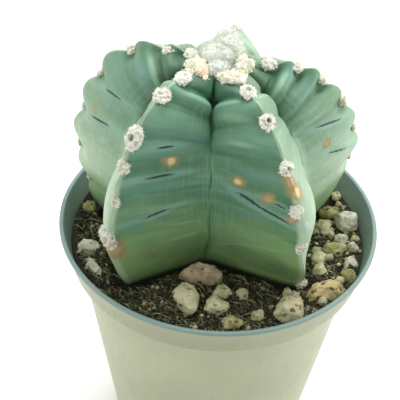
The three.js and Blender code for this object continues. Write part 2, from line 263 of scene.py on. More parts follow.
# %% Rows of the crests and valleys
def curve_through(points, places):
    """A smooth curve through outline points, read at places counted in points."""
    p = np.array(points, float)
    p = np.vstack([2 * p[0] - p[1], p, 2 * p[-1] - p[-2]])
    k = np.minimum(np.asarray(places).astype(int), len(points) - 2)
    s = (places - k)[:, None]
    a, b, c, d = p[k], p[k + 1], p[k + 2], p[k + 3]
    ab, bc, cd = [np.sqrt(np.linalg.norm(v, axis=1))[:, None] for v in (b - a, c - b, d - c)]
    start = ((b - a) / ab - (c - a) / (ab + bc) + (c - b) / bc) * bc
    end = ((c - b) / bc - (d - b) / (bc + cd) + (d - c) / cd) * bc
    return b + start * s + (3 * (c - b) - 2 * start - end) * s**2 + (2 * (b - c) + start + end) * s**3


def smooth_step(value):
    """Rise gently from 0 to 1 while the value goes from 0 to 1."""
    held = np.clip(value, 0, 1)
    return held * held * (3 - 2 * held)


dense = np.linspace(0, len(CREST) - 1, 4000)
steps = np.linalg.norm(np.diff(curve_through(CREST, dense), axis=0), axis=1)
dense_length = np.append(np.cumsum(steps[::-1])[::-1], 0)
row_length = np.concatenate([
    np.linspace(dense_length[0], FOOT_START, FOOT_ROWS, endpoint=False),
    np.linspace(FOOT_START, 0, BODY_ROWS),
])
row_place = np.interp(row_length, dense_length[::-1], dense[::-1])
crest_rows = curve_through(CREST, row_place)
valley_rows = curve_through(VALLEY, row_place)
crest_rows[:, 0] = np.maximum(crest_rows[:, 0], 0)
valley_rows[:, 0] = np.maximum(valley_rows[:, 0], 0)
for rows in (crest_rows, valley_rows):
    rows[[0, -1], 0] = 0
print("crest is", round(dense_length[0]), "mm long")

# %% [markdown]
# The ten lines, five crests and five valleys in turn, are stored as one mesh of loose points. A
# point's place there holds its angle, radius and height. The belly, the wax share with its painted
# light, the notches and the furrows that run from each notch down the flank are kept with it. Between
# two notches a crest swells in an arc, as the water-filled skin does between two areoles that hold it back.

# %% Guide lines
def rib_lines(rib, after, share):
    """The crest line of one rib and the valley line after it, with what the flanks need."""
    height = crest_rows[:, 1]
    # Where each change sets in, by the height or by the length from the growing point.
    turn = np.clip((height - 20) / 40, -1, 1)
    widest = np.exp(-(((height - 28) / 20) ** 2))
    swollen = smooth_step((height + 12) / 42)
    at_summit = smooth_step((height - 30) / 25)
    at_foot = smooth_step((12 - height) / 19)
    crest_turn, valley_turn, deeper = rib["foot"]
    across_line = np.gradient(crest_rows, axis=0)[:, ::-1] * (1, -1)
    across_line /= np.linalg.norm(across_line, axis=1)[:, None]
    sticks_up = across_line[:, 1] * smooth_step(row_length / 10) * smooth_step((height + 10) / 20)
    worn = smooth_step((row_length - 30) / 60)
    washed = 1 - 0.8 * smooth_step((row_length - 82) / 10)
    angle = rib["angle"] + rib["twist"] * turn
    span = (after["angle"] - rib["angle"]) % 360 + (after["twist"] - rib["twist"]) * turn
    places = [areole[0] for areole in rib["areoles"]]
    last = len(places) - 1
    count = np.interp(row_length, [0, *places, places[-1] + 8], range(-1, last + 2))
    held = np.clip(count, 0, last)
    part_way = np.sin(np.pi * row_place / (len(CREST) - 1))
    dip = 1 - np.abs(np.sin(np.pi * held)) - np.abs(np.sin(np.pi / 2 * (count - held)))
    crest = np.stack([
        np.radians(angle + crest_turn * at_foot),
        MM * crest_rows[:, 0] * (1 + (rib["reach"] - 1) * widest),
        MM * (height + rib["rise"] * smooth_step((height - 20) / 40)),
    ], axis=1)
    valley = np.stack([
        np.radians(angle + span / 2 + valley_turn * at_foot),
        MM * valley_rows[:, 0] * (1 + (share - 1) * part_way - deeper * at_foot),
        MM * valley_rows[:, 1],
    ], axis=1)
    sides = []
    # The pale wax share is partly real wax and partly painted light; the two flanks facing the front get
    # none.
    for (foot, full, summit), (young_wax_and_light, old_wax_and_light) in zip(rib["belly"], rib["bloom"]):
        sides.append(np.stack([
            foot + (full - foot) * swollen + (summit - full) * at_summit,
            (young_wax_and_light + (old_wax_and_light - young_wax_and_light) * worn) * washed,
            MM * rib["notch"] * (0.5 - dip) * sticks_up,
        ], axis=1))
    facts = np.stack([
        MM * rib["notch"] * dip, MM * rib["furrow"] * dip * (1 - 0.85 * worn), MM * row_length,
    ], axis=1)
    return crest, valley, sides, facts


line_points, before_facts, after_facts, crest_facts = [], [], [], []
for number, rib in enumerate(RIBS):
    crest, valley, sides, facts = rib_lines(rib, RIBS[(number + 1) % 5], VALLEY_SHARE[number])
    empty = np.zeros_like(crest)
    line_points += [crest, valley]
    before_facts += [sides[0], empty]
    after_facts += [sides[1], empty]
    crest_facts += [facts, empty]
guide_mesh = start_mesh(
    "stem_guide", np.concatenate(line_points), before=np.concatenate(before_facts),
    after=np.concatenate(after_facts), facts=np.concatenate(crest_facts),
)
print("guide lines:", len(line_points), "with", len(guide_mesh.vertices), "points")

# %% [markdown]
# ## Marks on the skin
# Old skin of this plant carries slit wrinkles across the flanks, painted dark as shade in their grooves,
# and corky tan scars. Each mark is placed on a map of the skin. Its first number is the rib, so that ribs
# lie one metre apart and no mark reaches a neighbour. The second is the way across from the crest, less
# than zero on the flank before it. The third is the length along the crest from the growing point.

# %% Slits and scars
MAP_WIDTH = 36
# A slit: its flank, its width, and its ends as a share of the way to the valley and a length.
SLITS = [
    (0, 0.9, (0.22, 46.6), (0.38, 45.4)), (0, 1.1, (0.18, 58.2), (0.45, 56.2)),
    (0, 1.1, (0.2, 75.1), (0.43, 71.5)), (1, 1.7, (0.54, 62.2), (0.28, 66.4)),
    (1, 1.3, (0.36, 65.2), (0.06, 70.2)), (1, 0.7, (0.17, 63.4), (0.07, 64.8)),
    (8, 0.9, (0.32, 46.8), (0.6, 43.7)), (8, 1.1, (0.3, 59.8), (0.61, 56.2)),
    (3, 1.0, (0.57, 50), (0.22, 54.6)), (3, 0.9, (0.54, 64.3), (0.28, 69.2)),
    (5, 1.0, (0.3, 55), (0.62, 53)), (6, 0.9, (0.25, 70), (0.5, 67)), (4, 1.0, (0.25, 60), (0.55, 57)),
    (7, 1.0, (0.3, 66), (0.6, 62)),
]
# A scar: its flank, share and length, half its size across and along, its turn, and how brown it is.
SCARS = [
    (0, 0.4, 51.2, 3, 1.8, 0, 0.3), (1, 0.51, 57, 3.2, 2.5, 0, 0.5), (1, 0.21, 61.8, 1.9, 2.6, 20, 0.7),
    (2, 0.03, 52.4, 2.7, 2.8, 0, 0.9), (2, 0.05, 56.6, 3.4, 3.2, 0, 0.3),
    (1, 0.015, 53.2, 1.3, 3.6, 0, 0.9), (1, 0.05, 68.2, 1.5, 0.8, 0, 0.8),
    (8, 0.34, 56, 1.2, 1.6, 0, 0.9), (3, 0.53, 58.7, 2, 1.5, 0, 0.9), (0, 0.005, 89, 2.4, 3.6, 0, 1),
    (0, 0.19, 91.4, 1.5, 0.5, 0, 1), (6, 0.4, 58, 2.2, 1.6, 0, 0.7), (4, 0.45, 71, 2.4, 1.8, 0, 0.6),
    (7, 0.2, 50, 2, 1.5, 0, 0.6),
]
# Scars browner than this are dark in the middle.
DARK_CORK = 0.65
# Thick blue wax, some of it a painted highlight below the slits, is placed in the same way, without a brown
# share.
WAX_AND_HIGHLIGHT_PATCHES = [
    (0, 0.12, 77, 3.6, 4.5, 0), (1, 0.42, 70.5, 6, 2.2, -12), (0, 0.3, 60, 6, 1.6, 8),
    (0, 0.3, 48.4, 5, 1.5, 8), (1, 0.3, 53, 7, 2, 0), (0, 0.7, 42, 5, 2.4, 10),
    (0, 0.32, 74.5, 5, 1.6, 14), (3, 0.3, 24.5, 7, 4, 0), (3, 0.35, 34, 7, 2.5, 0), (8, 0.5, 30, 9, 5, 0),
    (8, 0.35, 40, 6, 2.5, 0),
]
# So are pale lines, the ridges of old growth.
PALE_LINES = [
    (0, 0.62, 79.8, 10, 0.8, -2), (1, 0.25, 85.8, 5, 0.8, -6), (1, 0.48, 88, 5, 0.8, -22),
    (1, 0.7, 92, 6, 0.8, -32), (1, 0.42, 32, 9, 2.4, 4), (1, 0.4, 41.5, 7, 1.2, 4),
    (0, 0.6, 87, 9, 0.8, -6),
]


def on_skin(flank, share, length):
    """The place on the map of a share of a flank at a length along its crest."""
    return Vector(((flank + 1) // 2 % 5, MM * MAP_WIDTH * share * (-1) ** flank, MM * length))


slit_points, slit_widths, slit_ellipses = [], [], []
for flank, width, start, end in SLITS:
    start, end = on_skin(flank, *start), on_skin(flank, *end)
    for along in np.linspace(0, 1, 50):
        slit_points.append(start.lerp(end, along))
        slit_widths.append(MM * width * 0.5 * math.sin(math.pi * (0.04 + 0.92 * along)) ** 0.6)
    reach = end - start
    turn = math.atan2(reach.z, reach.y)
    slit_ellipses.append(((start + end) / 2, turn, 0.55 * reach.length, MM * width * 0.45))
slit_map = bpy.data.objects.new("slit_map", start_mesh("slit_map", slit_points, width=slit_widths))
scar_ellipses, wax_and_highlight_ellipses, pale_ellipses = [[
    (on_skin(flank, share, length), math.radians(turn), MM * across, MM * down)
    for flank, share, length, across, down, turn, *_ in marks
] for marks in (SCARS, WAX_AND_HIGHLIGHT_PATCHES, PALE_LINES)]
print(len(SLITS), "slits and", len(SCARS), "scars")

# %% [markdown]
# ## The stem as a node tree
# A flat grid is bent to the rule. A grid point's number gives its column and row, the column gives the
# flank, and the flank tells which crest and which valley it lies between. Their points are read from
# the guide. The columns stand closer together at the crest and in the valley, where the skin bends
# most. A main piece that follows a rule is best made this way: a change to a rib is one number above.

# %% Tree: find the crest and the valley of each grid point
def numbered_grid(tree, columns, rows):
    """A flat grid of points, with the number of each point's column and row."""
    grid = put(tree, "GeometryNodeMeshGrid", {"Vertices X": columns, "Vertices Y": rows})
    index = put(tree, "GeometryNodeInputIndex")
    column = put(tree, FLOOR, put(tree, OVER, index, rows))
    return grid, column, put(tree, MINUS, index, put(tree, TIMES, column, rows))


# How much the columns close up at the crest and in the valley.
CROWDING = 0.105
stem_tree, given = new_tree("ribbed stem", {
    "Rows": "Int", "Columns": "Int", "Waves": "Float", "Slits": "Object",
})
t = stem_tree
columns = put(t, PLUS, put(t, TIMES, given["Columns"], 10.0), 1.0)
grid, column, row = numbered_grid(t, columns, given["Rows"])
share = put(t, OVER, column, given["Columns"])
flank = put(t, REMAINDER, put(t, FLOOR, share), 10.0)
odd = put(t, REMAINDER, flank, 2.0)
even_share = put(t, ABSOLUTE, put(t, MINUS, put(t, FRACTION, share), odd))
crowd = put(t, SINE, put(t, TIMES, even_share, 2 * math.pi))
from_crest = put(t, TIMES_PLUS, crowd, -CROWDING, even_share)
crest_line = put(t, REMAINDER, put(t, PLUS, flank, odd), 10.0)
valley_line = put(t, MINUS, put(t, PLUS, flank, 1.0), odd)


def reading(fact, line, line_row):
    """Read a fact of the guide at a row of one of its ten lines."""
    value = put(t, NAMED_VECTOR, fact) if fact else put(t, POSITION)
    vertex = put(t, TIMES_PLUS, line, given["Rows"], line_row)
    return put(t, SAMPLE_VECTOR, given["Geometry"], value, vertex)


crest_angle, crest_radius, crest_height = put(t, SPLIT, reading("", crest_line, row)).outputs
valley_angle, valley_radius, valley_height = put(t, SPLIT, reading("", valley_line, row)).outputs
notch, _, length = put(t, SPLIT, reading("facts", crest_line, row)).outputs
side = put(t, MIX_VECTOR, odd, reading("after", crest_line, row), reading("before", crest_line, row))
belly, bloom, hump = put(t, SPLIT, side).outputs
print("stem tree so far:", len(t.nodes), "nodes")

# %% [markdown]
# Seen from above, a flank is the straight line from its crest to its valley. In angle and radius that
# line is the crest's radius times the valley's, times the sine of the angle between them, over a sum
# of two sines. The belly swells it. Close to the crest the notch pulls it in and the hump lifts it.

# %% Tree: the flank between them
# The share of the flank over which a notch in the crest fades out.
NOTCH_REACH = 0.16


def bell(value):
    """One where a value is zero, falling away softly on both sides."""
    return put(t, EXPONENT, put(t, TIMES, put(t, POWER, value, 2.0), -1.0))


gap = put(t, MATH, put(t, MINUS, valley_angle, crest_angle), math.pi, -math.pi, operation="WRAP")
half = put(t, ABSOLUTE, gap)
turned = put(t, TIMES, half, from_crest)
left = put(t, MINUS, half, turned)
near = put(t, TIMES, crest_radius, put(t, SINE, turned))
below = put(t, TIMES_PLUS, valley_radius, put(t, SINE, left), near)
product = put(t, TIMES, crest_radius, valley_radius)
over = put(t, TIMES, product, put(t, SINE, half))
straight = put(t, OVER, over, below)
bow = put(t, TIMES, put(t, POWER, from_crest, 0.7), math.pi)
swell = put(t, TIMES_PLUS, belly, put(t, SINE, bow), 1.0)
fade = bell(put(t, OVER, from_crest, NOTCH_REACH))
cut = put(t, TIMES, notch, fade)
radius = put(t, MINUS, put(t, TIMES, straight, swell), cut)
angle = put(t, TIMES_PLUS, gap, from_crest, crest_angle)
drop = put(t, MINUS, valley_height, crest_height)
height = put(t, TIMES_PLUS, drop, from_crest, crest_height)
height = put(t, TIMES_PLUS, hump, fade, height)
rise = put(t, PLUS, height, MM * (LIP_HEIGHT - SOIL_HEIGHT))
round_x = put(t, TIMES, radius, put(t, COSINE, angle))
round_y = put(t, TIMES, radius, put(t, SINE, angle))
lean_x = put(t, TIMES_PLUS, rise, STEM_LEAN[0], MM * STEM_AXIS[0])
lean_y = put(t, TIMES_PLUS, rise, STEM_LEAN[1], MM * STEM_AXIS[1])
skin_place = put(t, JOIN, put(t, PLUS, round_x, lean_x), put(t, PLUS, round_y, lean_y),
                 put(t, PLUS, height, MM * LIP_HEIGHT))
print("stem tree so far:", len(t.nodes), "nodes")

# %% [markdown]
# The furrows slope down to the valley near the top, where young skin still folds out of the growing
# point, and rise a little to it lower down. So the furrow is read a few rows away from the point
# itself, by an amount that grows towards the valley, and blended between two rows to keep it smooth.

# %% Tree: sloping furrows
slope = put(t, SOFT_RANGE, length, 28 * MM, 52 * MM, 6.0, -5.5)
row_step = FOOT_START / (BODY_ROWS - 1)
steepened = put(t, POWER, from_crest, 0.8)
shift = put(t, TIMES, steepened, put(t, TIMES, slope, 1 / row_step))
last_row = put(t, MINUS, given["Rows"], 2.0)
shifted = put(t, LESSER, put(t, PLUS, row, shift), last_row)
lower_row = put(t, FLOOR, shifted)
upper_row = put(t, PLUS, lower_row, 1.0)
blended = put(t, MIX_VECTOR, put(t, FRACTION, shifted), reading("facts", crest_line, lower_row),
              reading("facts", crest_line, upper_row))
_, furrow, pleat_length = put(t, SPLIT, blended).outputs
opening = put(t, SOFT_RANGE, from_crest, 0.0, 0.14, 0.35, 1.0)
closing = put(t, POWER, put(t, MINUS, 1.0, from_crest), 0.4)
furrow_here = put(t, TIMES, put(t, TIMES, opening, closing), furrow)
print("stem tree so far:", len(t.nodes), "nodes")

# %% [markdown]
# The map position of each point is kept, so that the marks can be found after the seam is closed. The
# slits are grooves with a raised lip. Near the top each flank swells out in a soft shoulder, so that
# the valley between two shoulders is a deep cleft, and a groove marks the youngest fold of the skin.
# Lower down old skin fills the fold a little. Two sizes of noise make the waves of a soft skin.

# %% Tree: shoulders, slits and waves
# How much further down the youngest fold lies in the valley than at the crest.
YOUNG_FOLD_DROP = 5.5 * MM
sign = put(t, TIMES_PLUS, odd, -2.0, 1.0)
from_line = put(t, TIMES, put(t, TIMES, from_crest, MM * MAP_WIDTH), sign)
map_place = put(t, JOIN, put(t, TIMES, crest_line, 0.5), from_line, length)
skin = put(t, MOVE, {"Geometry": grid, "Position": skin_place})
for label, value, store in (
    ("map", map_place, STORE_VECTOR), ("from_crest", from_crest, STORE_NUMBER),
    ("along", length, STORE_NUMBER), ("bloom", bloom, STORE_NUMBER),
    ("furrow", furrow_here, STORE_NUMBER), ("pleat", pleat_length, STORE_NUMBER),
):
    skin = put(t, store, {"Geometry": skin, "Name": label, "Value": value})
skin = put(t, "GeometryNodeMergeByDistance", {"Geometry": skin, "Distance": 0.004 * MM})
on_map = put(t, NAMED_VECTOR, "map")
marks = put(t, "GeometryNodeObjectInfo", given["Slits"]).outputs["Geometry"]
nearest = put(t, "GeometryNodeSampleNearest", marks, on_map)
centre = put(t, SAMPLE_VECTOR, marks, put(t, POSITION), nearest)
width = put(t, SAMPLE_NUMBER, marks, put(t, NAMED_NUMBER, "width"), nearest)
slit_far = put(t, VECTOR, on_map, centre, operation="DISTANCE").outputs["Value"]
slit_far = put(t, OVER, slit_far, width)
slit = bell(slit_far)
lip = bell(put(t, OVER, put(t, MINUS, slit_far, 2.6), 1.4))
slit_depth = put(t, TIMES, put(t, TIMES, slit, width), 1.3)
lip_height = put(t, TIMES, put(t, TIMES, lip, width), 0.5)
position = put(t, POSITION)
wave_noise = put(t, NOISE, position, 70.0, 1.0)
fine_noise = put(t, NOISE, position, 330.0, 2.0)
wave = put(t, TIMES, put(t, MINUS, wave_noise, 0.5), given["Waves"])
ripple = put(t, TIMES_PLUS, fine_noise, 0.14 * MM, -0.07 * MM)
to_valley = put(t, NAMED_NUMBER, "from_crest")
along = put(t, NAMED_NUMBER, "along")
bulge = put(t, SINE, put(t, TIMES, put(t, POWER, to_valley, 2.0), math.pi))
at_top = put(t, SOFT_RANGE, along, 56 * MM, 22 * MM, 0.0, 2.4 * MM)
at_end = put(t, SOFT_RANGE, along, 1 * MM, 7 * MM, 0.0, 1.0)
shoulder = put(t, TIMES, put(t, TIMES, bulge, at_top), at_end)
fold_width = put(t, RANGE, along, 12 * MM, 40 * MM, 0.26, 0.08)
fold_far = put(t, OVER, put(t, MINUS, 1.0, to_valley), fold_width)
fold_fill = put(t, SOFT_RANGE, along, 26 * MM, 56 * MM, -0.4 * MM, 1.3 * MM)
fold = put(t, TIMES, bell(fold_far), fold_fill)
shoulder = put(t, TIMES_PLUS, fold, at_end, shoulder)
fold_run = put(t, TIMES_PLUS, put(t, POWER, to_valley, 1.5), -YOUNG_FOLD_DROP, along)
groove_far = put(t, OVER, put(t, MINUS, fold_run, 20.4 * MM), 1.6 * MM)
groove = put(t, TIMES, bell(groove_far), put(t, RANGE, to_valley, 0.18, 0.6, 0.0, -1.2 * MM))
shoulder = put(t, PLUS, shoulder, groove)
relief = put(t, PLUS, put(t, PLUS, wave, ripple), shoulder)
relief = put(t, MINUS, put(t, PLUS, relief, lip_height), slit_depth)
relief = put(t, MINUS, relief, put(t, NAMED_NUMBER, "furrow"))
outward = put(t, VECTOR_SCALED, put(t, "GeometryNodeInputNormal"), relief)
skin = put(t, MOVE, {"Geometry": skin, "Offset": outward})
end_tree(t, skin, given)
print("stem tree:", len(t.nodes), "nodes")

# %% [markdown]
# ## The skin's finish
# The skin is a waxy rind. It is a deep green, with painted shade deepening the valleys, and greyer,
# bluer and paler in soft bands of painted reflection across the pleats and in patches of thick wax, some
# of them a painted highlight below the slits. It has a yellowish foot where it is old. Slits are painted
# dark as shade in their grooves, with a painted highlight for their pale lip. Cork is dry: pale in the
# middle of a scar, tan and brown at its edge. The marks are drawn from the same lists as their grooves,
# as ellipses on the map of the skin, so they stay sharp however near one looks.

# %% Waxy skin
def new_material(name, roughness, **sockets):
    """Start a material and return its tree and its one shader, with plain values on its sockets."""
    material = bpy.data.materials.new(name)
    material.use_nodes = True
    shader = material.node_tree.nodes["Principled BSDF"]
    shader.inputs["Roughness"].default_value = roughness
    for label, value in sockets.items():
        shader.inputs[label.replace("_", " ")].default_value = value
    return material, material.node_tree, shader


def strength(tree, *parts):
    """How strongly a tint shows: its parts multiplied, each a value or a kind of node with its inputs."""
    whole, *others = [put(tree, *part) if isinstance(part, tuple) else part for part in parts]
    for part in others:
        whole = put(tree, TIMES, whole, part)
    return whole


def paint(tree, shader, colour, layers):
    """Lay layers over a first colour. A layer is its name, its tint and the parts of its strength."""
    mixed = linear(colour)
    for _, tint, *parts in layers:
        mixed = put(tree, MIX_COLOUR, strength(tree, *parts), mixed, linear(tint))
    tree.links.new(mixed.outputs[2], shader.inputs["Base Color"])


def nearest_ellipse(tree, where, ellipses, merge):
    """How far a place on the map is from the nearest ellipse, where 1 is that ellipse's own edge."""
    nearest = None
    for middle, turn, across, down in ellipses:
        local = put(tree, "ShaderNodeMapping", where, middle, (turn, 0, 0), (0.01, across, down),
                    vector_type="TEXTURE")
        far = put(tree, VECTOR_LENGTH, local).outputs["Value"]
        if nearest is not None:
            far = put(tree, MATH, nearest, far, merge, operation="SMOOTH_MIN")
        nearest = far
    return nearest


waxy_skin, t, shader = new_material("waxy_cactus_skin", 0.46, IOR=1.45)
place = put(t, "ShaderNodeTexCoord").outputs["Object"]
on_map = put(t, "ShaderNodeAttribute", attribute_name="map").outputs["Vector"]
from_crest, along, bloom, furrow, pleat = [
    put(t, "ShaderNodeAttribute", attribute_name=label).outputs["Fac"]
    for label in ("from_crest", "along", "bloom", "furrow", "pleat")
]
patches = put(t, NOISE, place, 60.0, 3.0)
wander_noise = put(t, NOISE, place, 38.0, 1.0)
mottle = put(t, NOISE, place, 420.0, 4.0, 0.6)
# Soft bands across the pleats are painted reflection of the light on them.
across_reflection_bands = put(t, TIMES_PLUS, pleat, 115.0, put(t, TIMES, wander_noise, 1.4))
reflection_band_place = put(t, VECTOR_TIMES_PLUS, place, (18.0, 18.0, 0.0), put(t, JOIN, 0.0, 0.0, across_reflection_bands))
painted_reflection_bands = put(t, NOISE, reflection_band_place, 1.0, 2.0, 0.45)
across_streaks = put(t, JOIN, 0.0, 0.0, put(t, TIMES, pleat, 300.0))
streaks = put(t, NOISE, put(t, VECTOR_TIMES_PLUS, place, (60.0, 60.0, 0.0), across_streaks), 1.0, 2.0)
fibre_place = put(t, JOIN, put(t, TIMES, from_crest, 45.0), put(t, TIMES, along, 45.0), 0.0)
fibres = put(t, NOISE, fibre_place, 1.0, 3.0)
ragged = put(t, NOISE, place, 280.0, 4.0, 0.6)
shaken = put(t, VECTOR_TIMES_PLUS, put(t, VECTOR_MINUS, ragged.outputs["Color"], (0.5, 0.5, 0.5)),
             (0.0, 3.4 * MM, 3.4 * MM), on_map)
slit_far = nearest_ellipse(t, on_map, slit_ellipses, 0.3)
scar_far = nearest_ellipse(t, shaken, scar_ellipses, 0.25)
wax_and_highlight_far = nearest_ellipse(t, shaken, wax_and_highlight_ellipses, 0.3)
pale_far = nearest_ellipse(t, on_map, pale_ellipses, 0.3)
dark_cork = [ellipse for ellipse, scar in zip(scar_ellipses, SCARS) if scar[-1] > DARK_CORK]
brown_far = nearest_ellipse(t, shaken, dark_cork, 0.25)
print("skin finish so far:", len(t.nodes), "nodes")

# %% [markdown]
# The colours lie over each other: the greens of the flesh; painted shade in the valleys, creases, folds
# and furrows and near the growing point; soft bands of painted reflection; painted highlights on ridges
# and on the rim of the youngest fold; wax, partly painted light, and its flecks; then slits with painted
# shade and a painted highlight on their lips, cork, and a painted shadow at the foot. Each shows where
# its ranges are high. Cork is dry, so a scar is duller than the wax and stands a little proud.

# %% Colours of the skin
fold_run = put(t, TIMES_PLUS, put(t, POWER, from_crest, 1.5), -YOUNG_FOLD_DROP, along)
off_lit_rim = put(t, ABSOLUTE, put(t, MINUS, fold_run, 23.4 * MM))
off_crest = (RANGE, from_crest, 0.1, 0.35, 0.0, 1.0)
skin_height = put(t, TIMES_PLUS, patches, 3 * MM, put(t, SPLIT, place).outputs["Z"])
scar = strength(t, (SOFT_RANGE, scar_far, 1.6, 0.7, 0.0, 0.92), (RANGE, mottle, 0.36, 0.5, 0.45, 1.0))
SKIN_LAYERS = [
    ("patches", "557d54", (RANGE, patches, 0.42, 0.66, 0.0, 0.6)),
    # Painted reflection: soft bluish bands across the pleats.
    ("painted_reflection_bands", "64937f", (SOFT_RANGE, painted_reflection_bands, 0.4, 0.66, 0.0, 0.8), (RANGE, patches, 0.35, 0.6, 0.35, 1.0)),
    ("streaks", "86ab93", (RANGE, streaks, 0.5, 0.7, 0.0, 0.36)),
    ("old skin", "8fb06e", (RANGE, along, 66 * MM, 92 * MM, 0.0, 0.85), (RANGE, patches, 0.3, 0.6, 0.5, 1.0)),
    # Painted shade, deepening the green towards each valley.
    ("painted_valley_shade", "4f8558", (SOFT_RANGE, from_crest, 0.8, 1.0, 0.0, 0.5)),
    # Painted shade at the bottom of the furrows.
    ("painted_furrow_shade", "3b6a4c", (RANGE, furrow, 0.5 * MM, 2.6 * MM, 0.0, 0.5)),
    # Painted shade on the flanks near the growing point.
    ("painted_shade_near_the_top", "316148", (SOFT_RANGE, along, 50 * MM, 20 * MM, 0.0, 0.65),
     (RANGE, bloom, 0.02, 0.12, 1.0, 1.4), (RANGE, from_crest, 0.1, 0.7, 0.0, 1.0)),
    # Painted highlight on the ridges between the furrows near the top.
    ("painted_ridge_highlight", "7ba98a", (SOFT_RANGE, furrow, 0.6 * MM, 0.05 * MM, 0.0, 0.33),
     (RANGE, along, 58 * MM, 36 * MM, 0.0, 1.0), (RANGE, bloom, 0.02, 0.12, 1.0, 0.15)),
    ("fibres", "93b595", (RANGE, fibres, 0.48, 0.68, 0.0, 0.3), (RANGE, from_crest, 0.2, 0.8, 0.2, 1.0)),
    # Blue wax patches, some of them a painted highlight below the slits.
    ("thick_wax_and_painted_highlight", "54857a", (SOFT_RANGE, wax_and_highlight_far, 1.5, 0.2, 0.0, 0.6)),
    ("pale lines", "96bb98", (SOFT_RANGE, pale_far, 1.4, 0.2, 0.0, 0.45)),
    # Painted shade in the crease of each valley, strongest near the top.
    ("painted_crease_shade", "2a5a3a", (SOFT_RANGE, from_crest, 0.84, 0.99, 0.0, 0.7),
     (RANGE, along, 34 * MM, 58 * MM, 1.0, 0.15)),
    # Painted shade in the groove of the youngest fold.
    ("painted_youngest_fold_shade", "2b5a3e", (SOFT_RANGE, fold_run, 22.2 * MM, 20.6 * MM, 0.0, 0.75), off_crest),
    # Painted highlight along the upper rim of the youngest fold.
    ("painted_fold_rim_highlight", "8dbb9b", (SOFT_RANGE, off_lit_rim, 1.7 * MM, 0.3 * MM, 0.0, 0.6), off_crest),
    # Pale wax, partly real wax and partly painted light on the flanks turned away from the front.
    ("wax", "b2c7ab", bloom, (RANGE, mottle, 0.3, 0.7, 0.72, 1.0)),
    ("edge of the crest", "b3caa9", (SOFT_RANGE, from_crest, 0.035, 0.012, 0.0, 0.7)),
    ("flecks of wax", "dde6d8", (RANGE, mottle, 0.6, 0.72, 0.0, 0.3), bloom),
    # Painted highlight on the lips of the slits.
    ("painted_slit_lip_highlight", "84ab9c", (SOFT_RANGE, slit_far, 4.5, 1.4, 0.0, 0.4)),
    # Painted shade: the slits are dark in their grooves.
    ("slits", "17301f", (SOFT_RANGE, slit_far, 1.15, 0.6, 0.0, 0.92)),
    ("scars", "a18c5c", scar),
    ("pale cork", "e0cc96", (SOFT_RANGE, scar_far, 0.9, 0.3, 0.0, 0.85)),
    ("brown cork", "8f7050", (SOFT_RANGE, brown_far, 1.2, 0.5, 0.0, 0.6)),
    # Painted shadow on the foot of the stem, just above the soil.
    ("painted_foot_shadow", "182b1d", (SOFT_RANGE, skin_height, 90.4 * MM, 86.6 * MM, 0.0, 0.92)),
]
paint(t, shader, "48785a", SKIN_LAYERS)
dry = put(t, TIMES_PLUS, scar, 0.4, 0.4)
t.links.new(put(t, TIMES_PLUS, mottle, 0.16, dry).outputs[0], shader.inputs["Roughness"])
raised = put(t, TIMES_PLUS, scar, 0.8, mottle)
grain = put(t, "ShaderNodeBump", {"Strength": 0.4, "Distance": 0.25 * MM, "Height": raised})
t.links.new(grain.outputs[0], shader.inputs["Normal"])
print("skin finish:", len(t.nodes), "nodes, painted with", ", ".join(layer[0] for layer in SKIN_LAYERS))

# %% [markdown]
# The tree runs once on the guide lines, with 26 columns to a flank, and the stem stands for its solid.

# %% Grow the stem
stem = grow("cactus_stem", guide_mesh, stem_tree, {
    "Rows": ROWS, "Columns": 26, "Waves": 0.9 * MM, "Slits": slit_map, "Material": waxy_skin,
})
keep(stem, "cactus_skin", "cactus")

# %% [markdown]
# ## The pot and the soil are turned forms
# The pot is one thin wall of moulded plastic. A half outline carried round the axis gives it, with the
# corners rounded as a mould leaves them. The soil fills it the same way, so one tree turns both.

# %% Outlines with rounded corners
def rounded(corners, radius, step):
    """An outline with each inner corner rounded, and extra points where a run is longer than a step."""
    corners = [np.array(corner, float) for corner in corners]
    line = [corners[0]]
    for before, corner, after in zip(corners, corners[1:], corners[2:]):
        back, forth = before - corner, after - corner
        reach = min(radius, 0.45 * np.linalg.norm(back), 0.45 * np.linalg.norm(forth))
        start = corner + back / np.linalg.norm(back) * reach
        end = corner + forth / np.linalg.norm(forth) * reach
        line += [(1 - s) ** 2 * start + 2 * s * (1 - s) * corner + s * s * end
                 for s in (0, 0.25, 0.5, 0.75, 1)]
    line.append(corners[-1])
    points = [line[0]]
    for start, end in zip(line, line[1:]):
        count = max(1, math.ceil(np.linalg.norm(end - start) / step))
        points += [start + (end - start) * k / count for k in range(1, count + 1)]
    return points


POT_OUTLINE = [
    (0, 0.5), (24, 0.5), (26, 0), (34.2, 0), (35.4, 1.6), (48.2, 82), (48.9, 83), (51.4, 83.1),
    (54.1, 94.2), (55, 94.6), (55, 95.8), (54.2, 96), (53.5, 95.9), (53, 94), (50.5, 84.7), (49.7, 84),
    (47.4, 84), (47, 82.6), (34.2, 2.8), (33, 1.6), (0, 1.6),
]
SOIL_OUTLINE = [
    (0, 1.9), (32.6, 1.9), (33.8, 3), (46.4, 82), (46.9, 84.4), (49.4, 84.5), (50.2, 85), (51.1, 88.1),
    (48.5, 88), (0, 88),
]
turned_tree, given = new_tree("turned form", {"Sides": "Int", "Points": "Int"})
t = turned_tree
grid, column, row = numbered_grid(t, put(t, PLUS, given["Sides"], 1.0), given["Points"])
sample = put(t, SAMPLE_VECTOR, given["Geometry"], put(t, POSITION), row)
radius, _, height = put(t, SPLIT, sample).outputs
share = put(t, OVER, column, given["Sides"])
angle = put(t, TIMES, share, 2 * math.pi)
place = put(t, JOIN, put(t, TIMES, radius, put(t, COSINE, angle)),
            put(t, TIMES, radius, put(t, SINE, angle)), height)
form = put(t, MOVE, {"Geometry": grid, "Position": place})
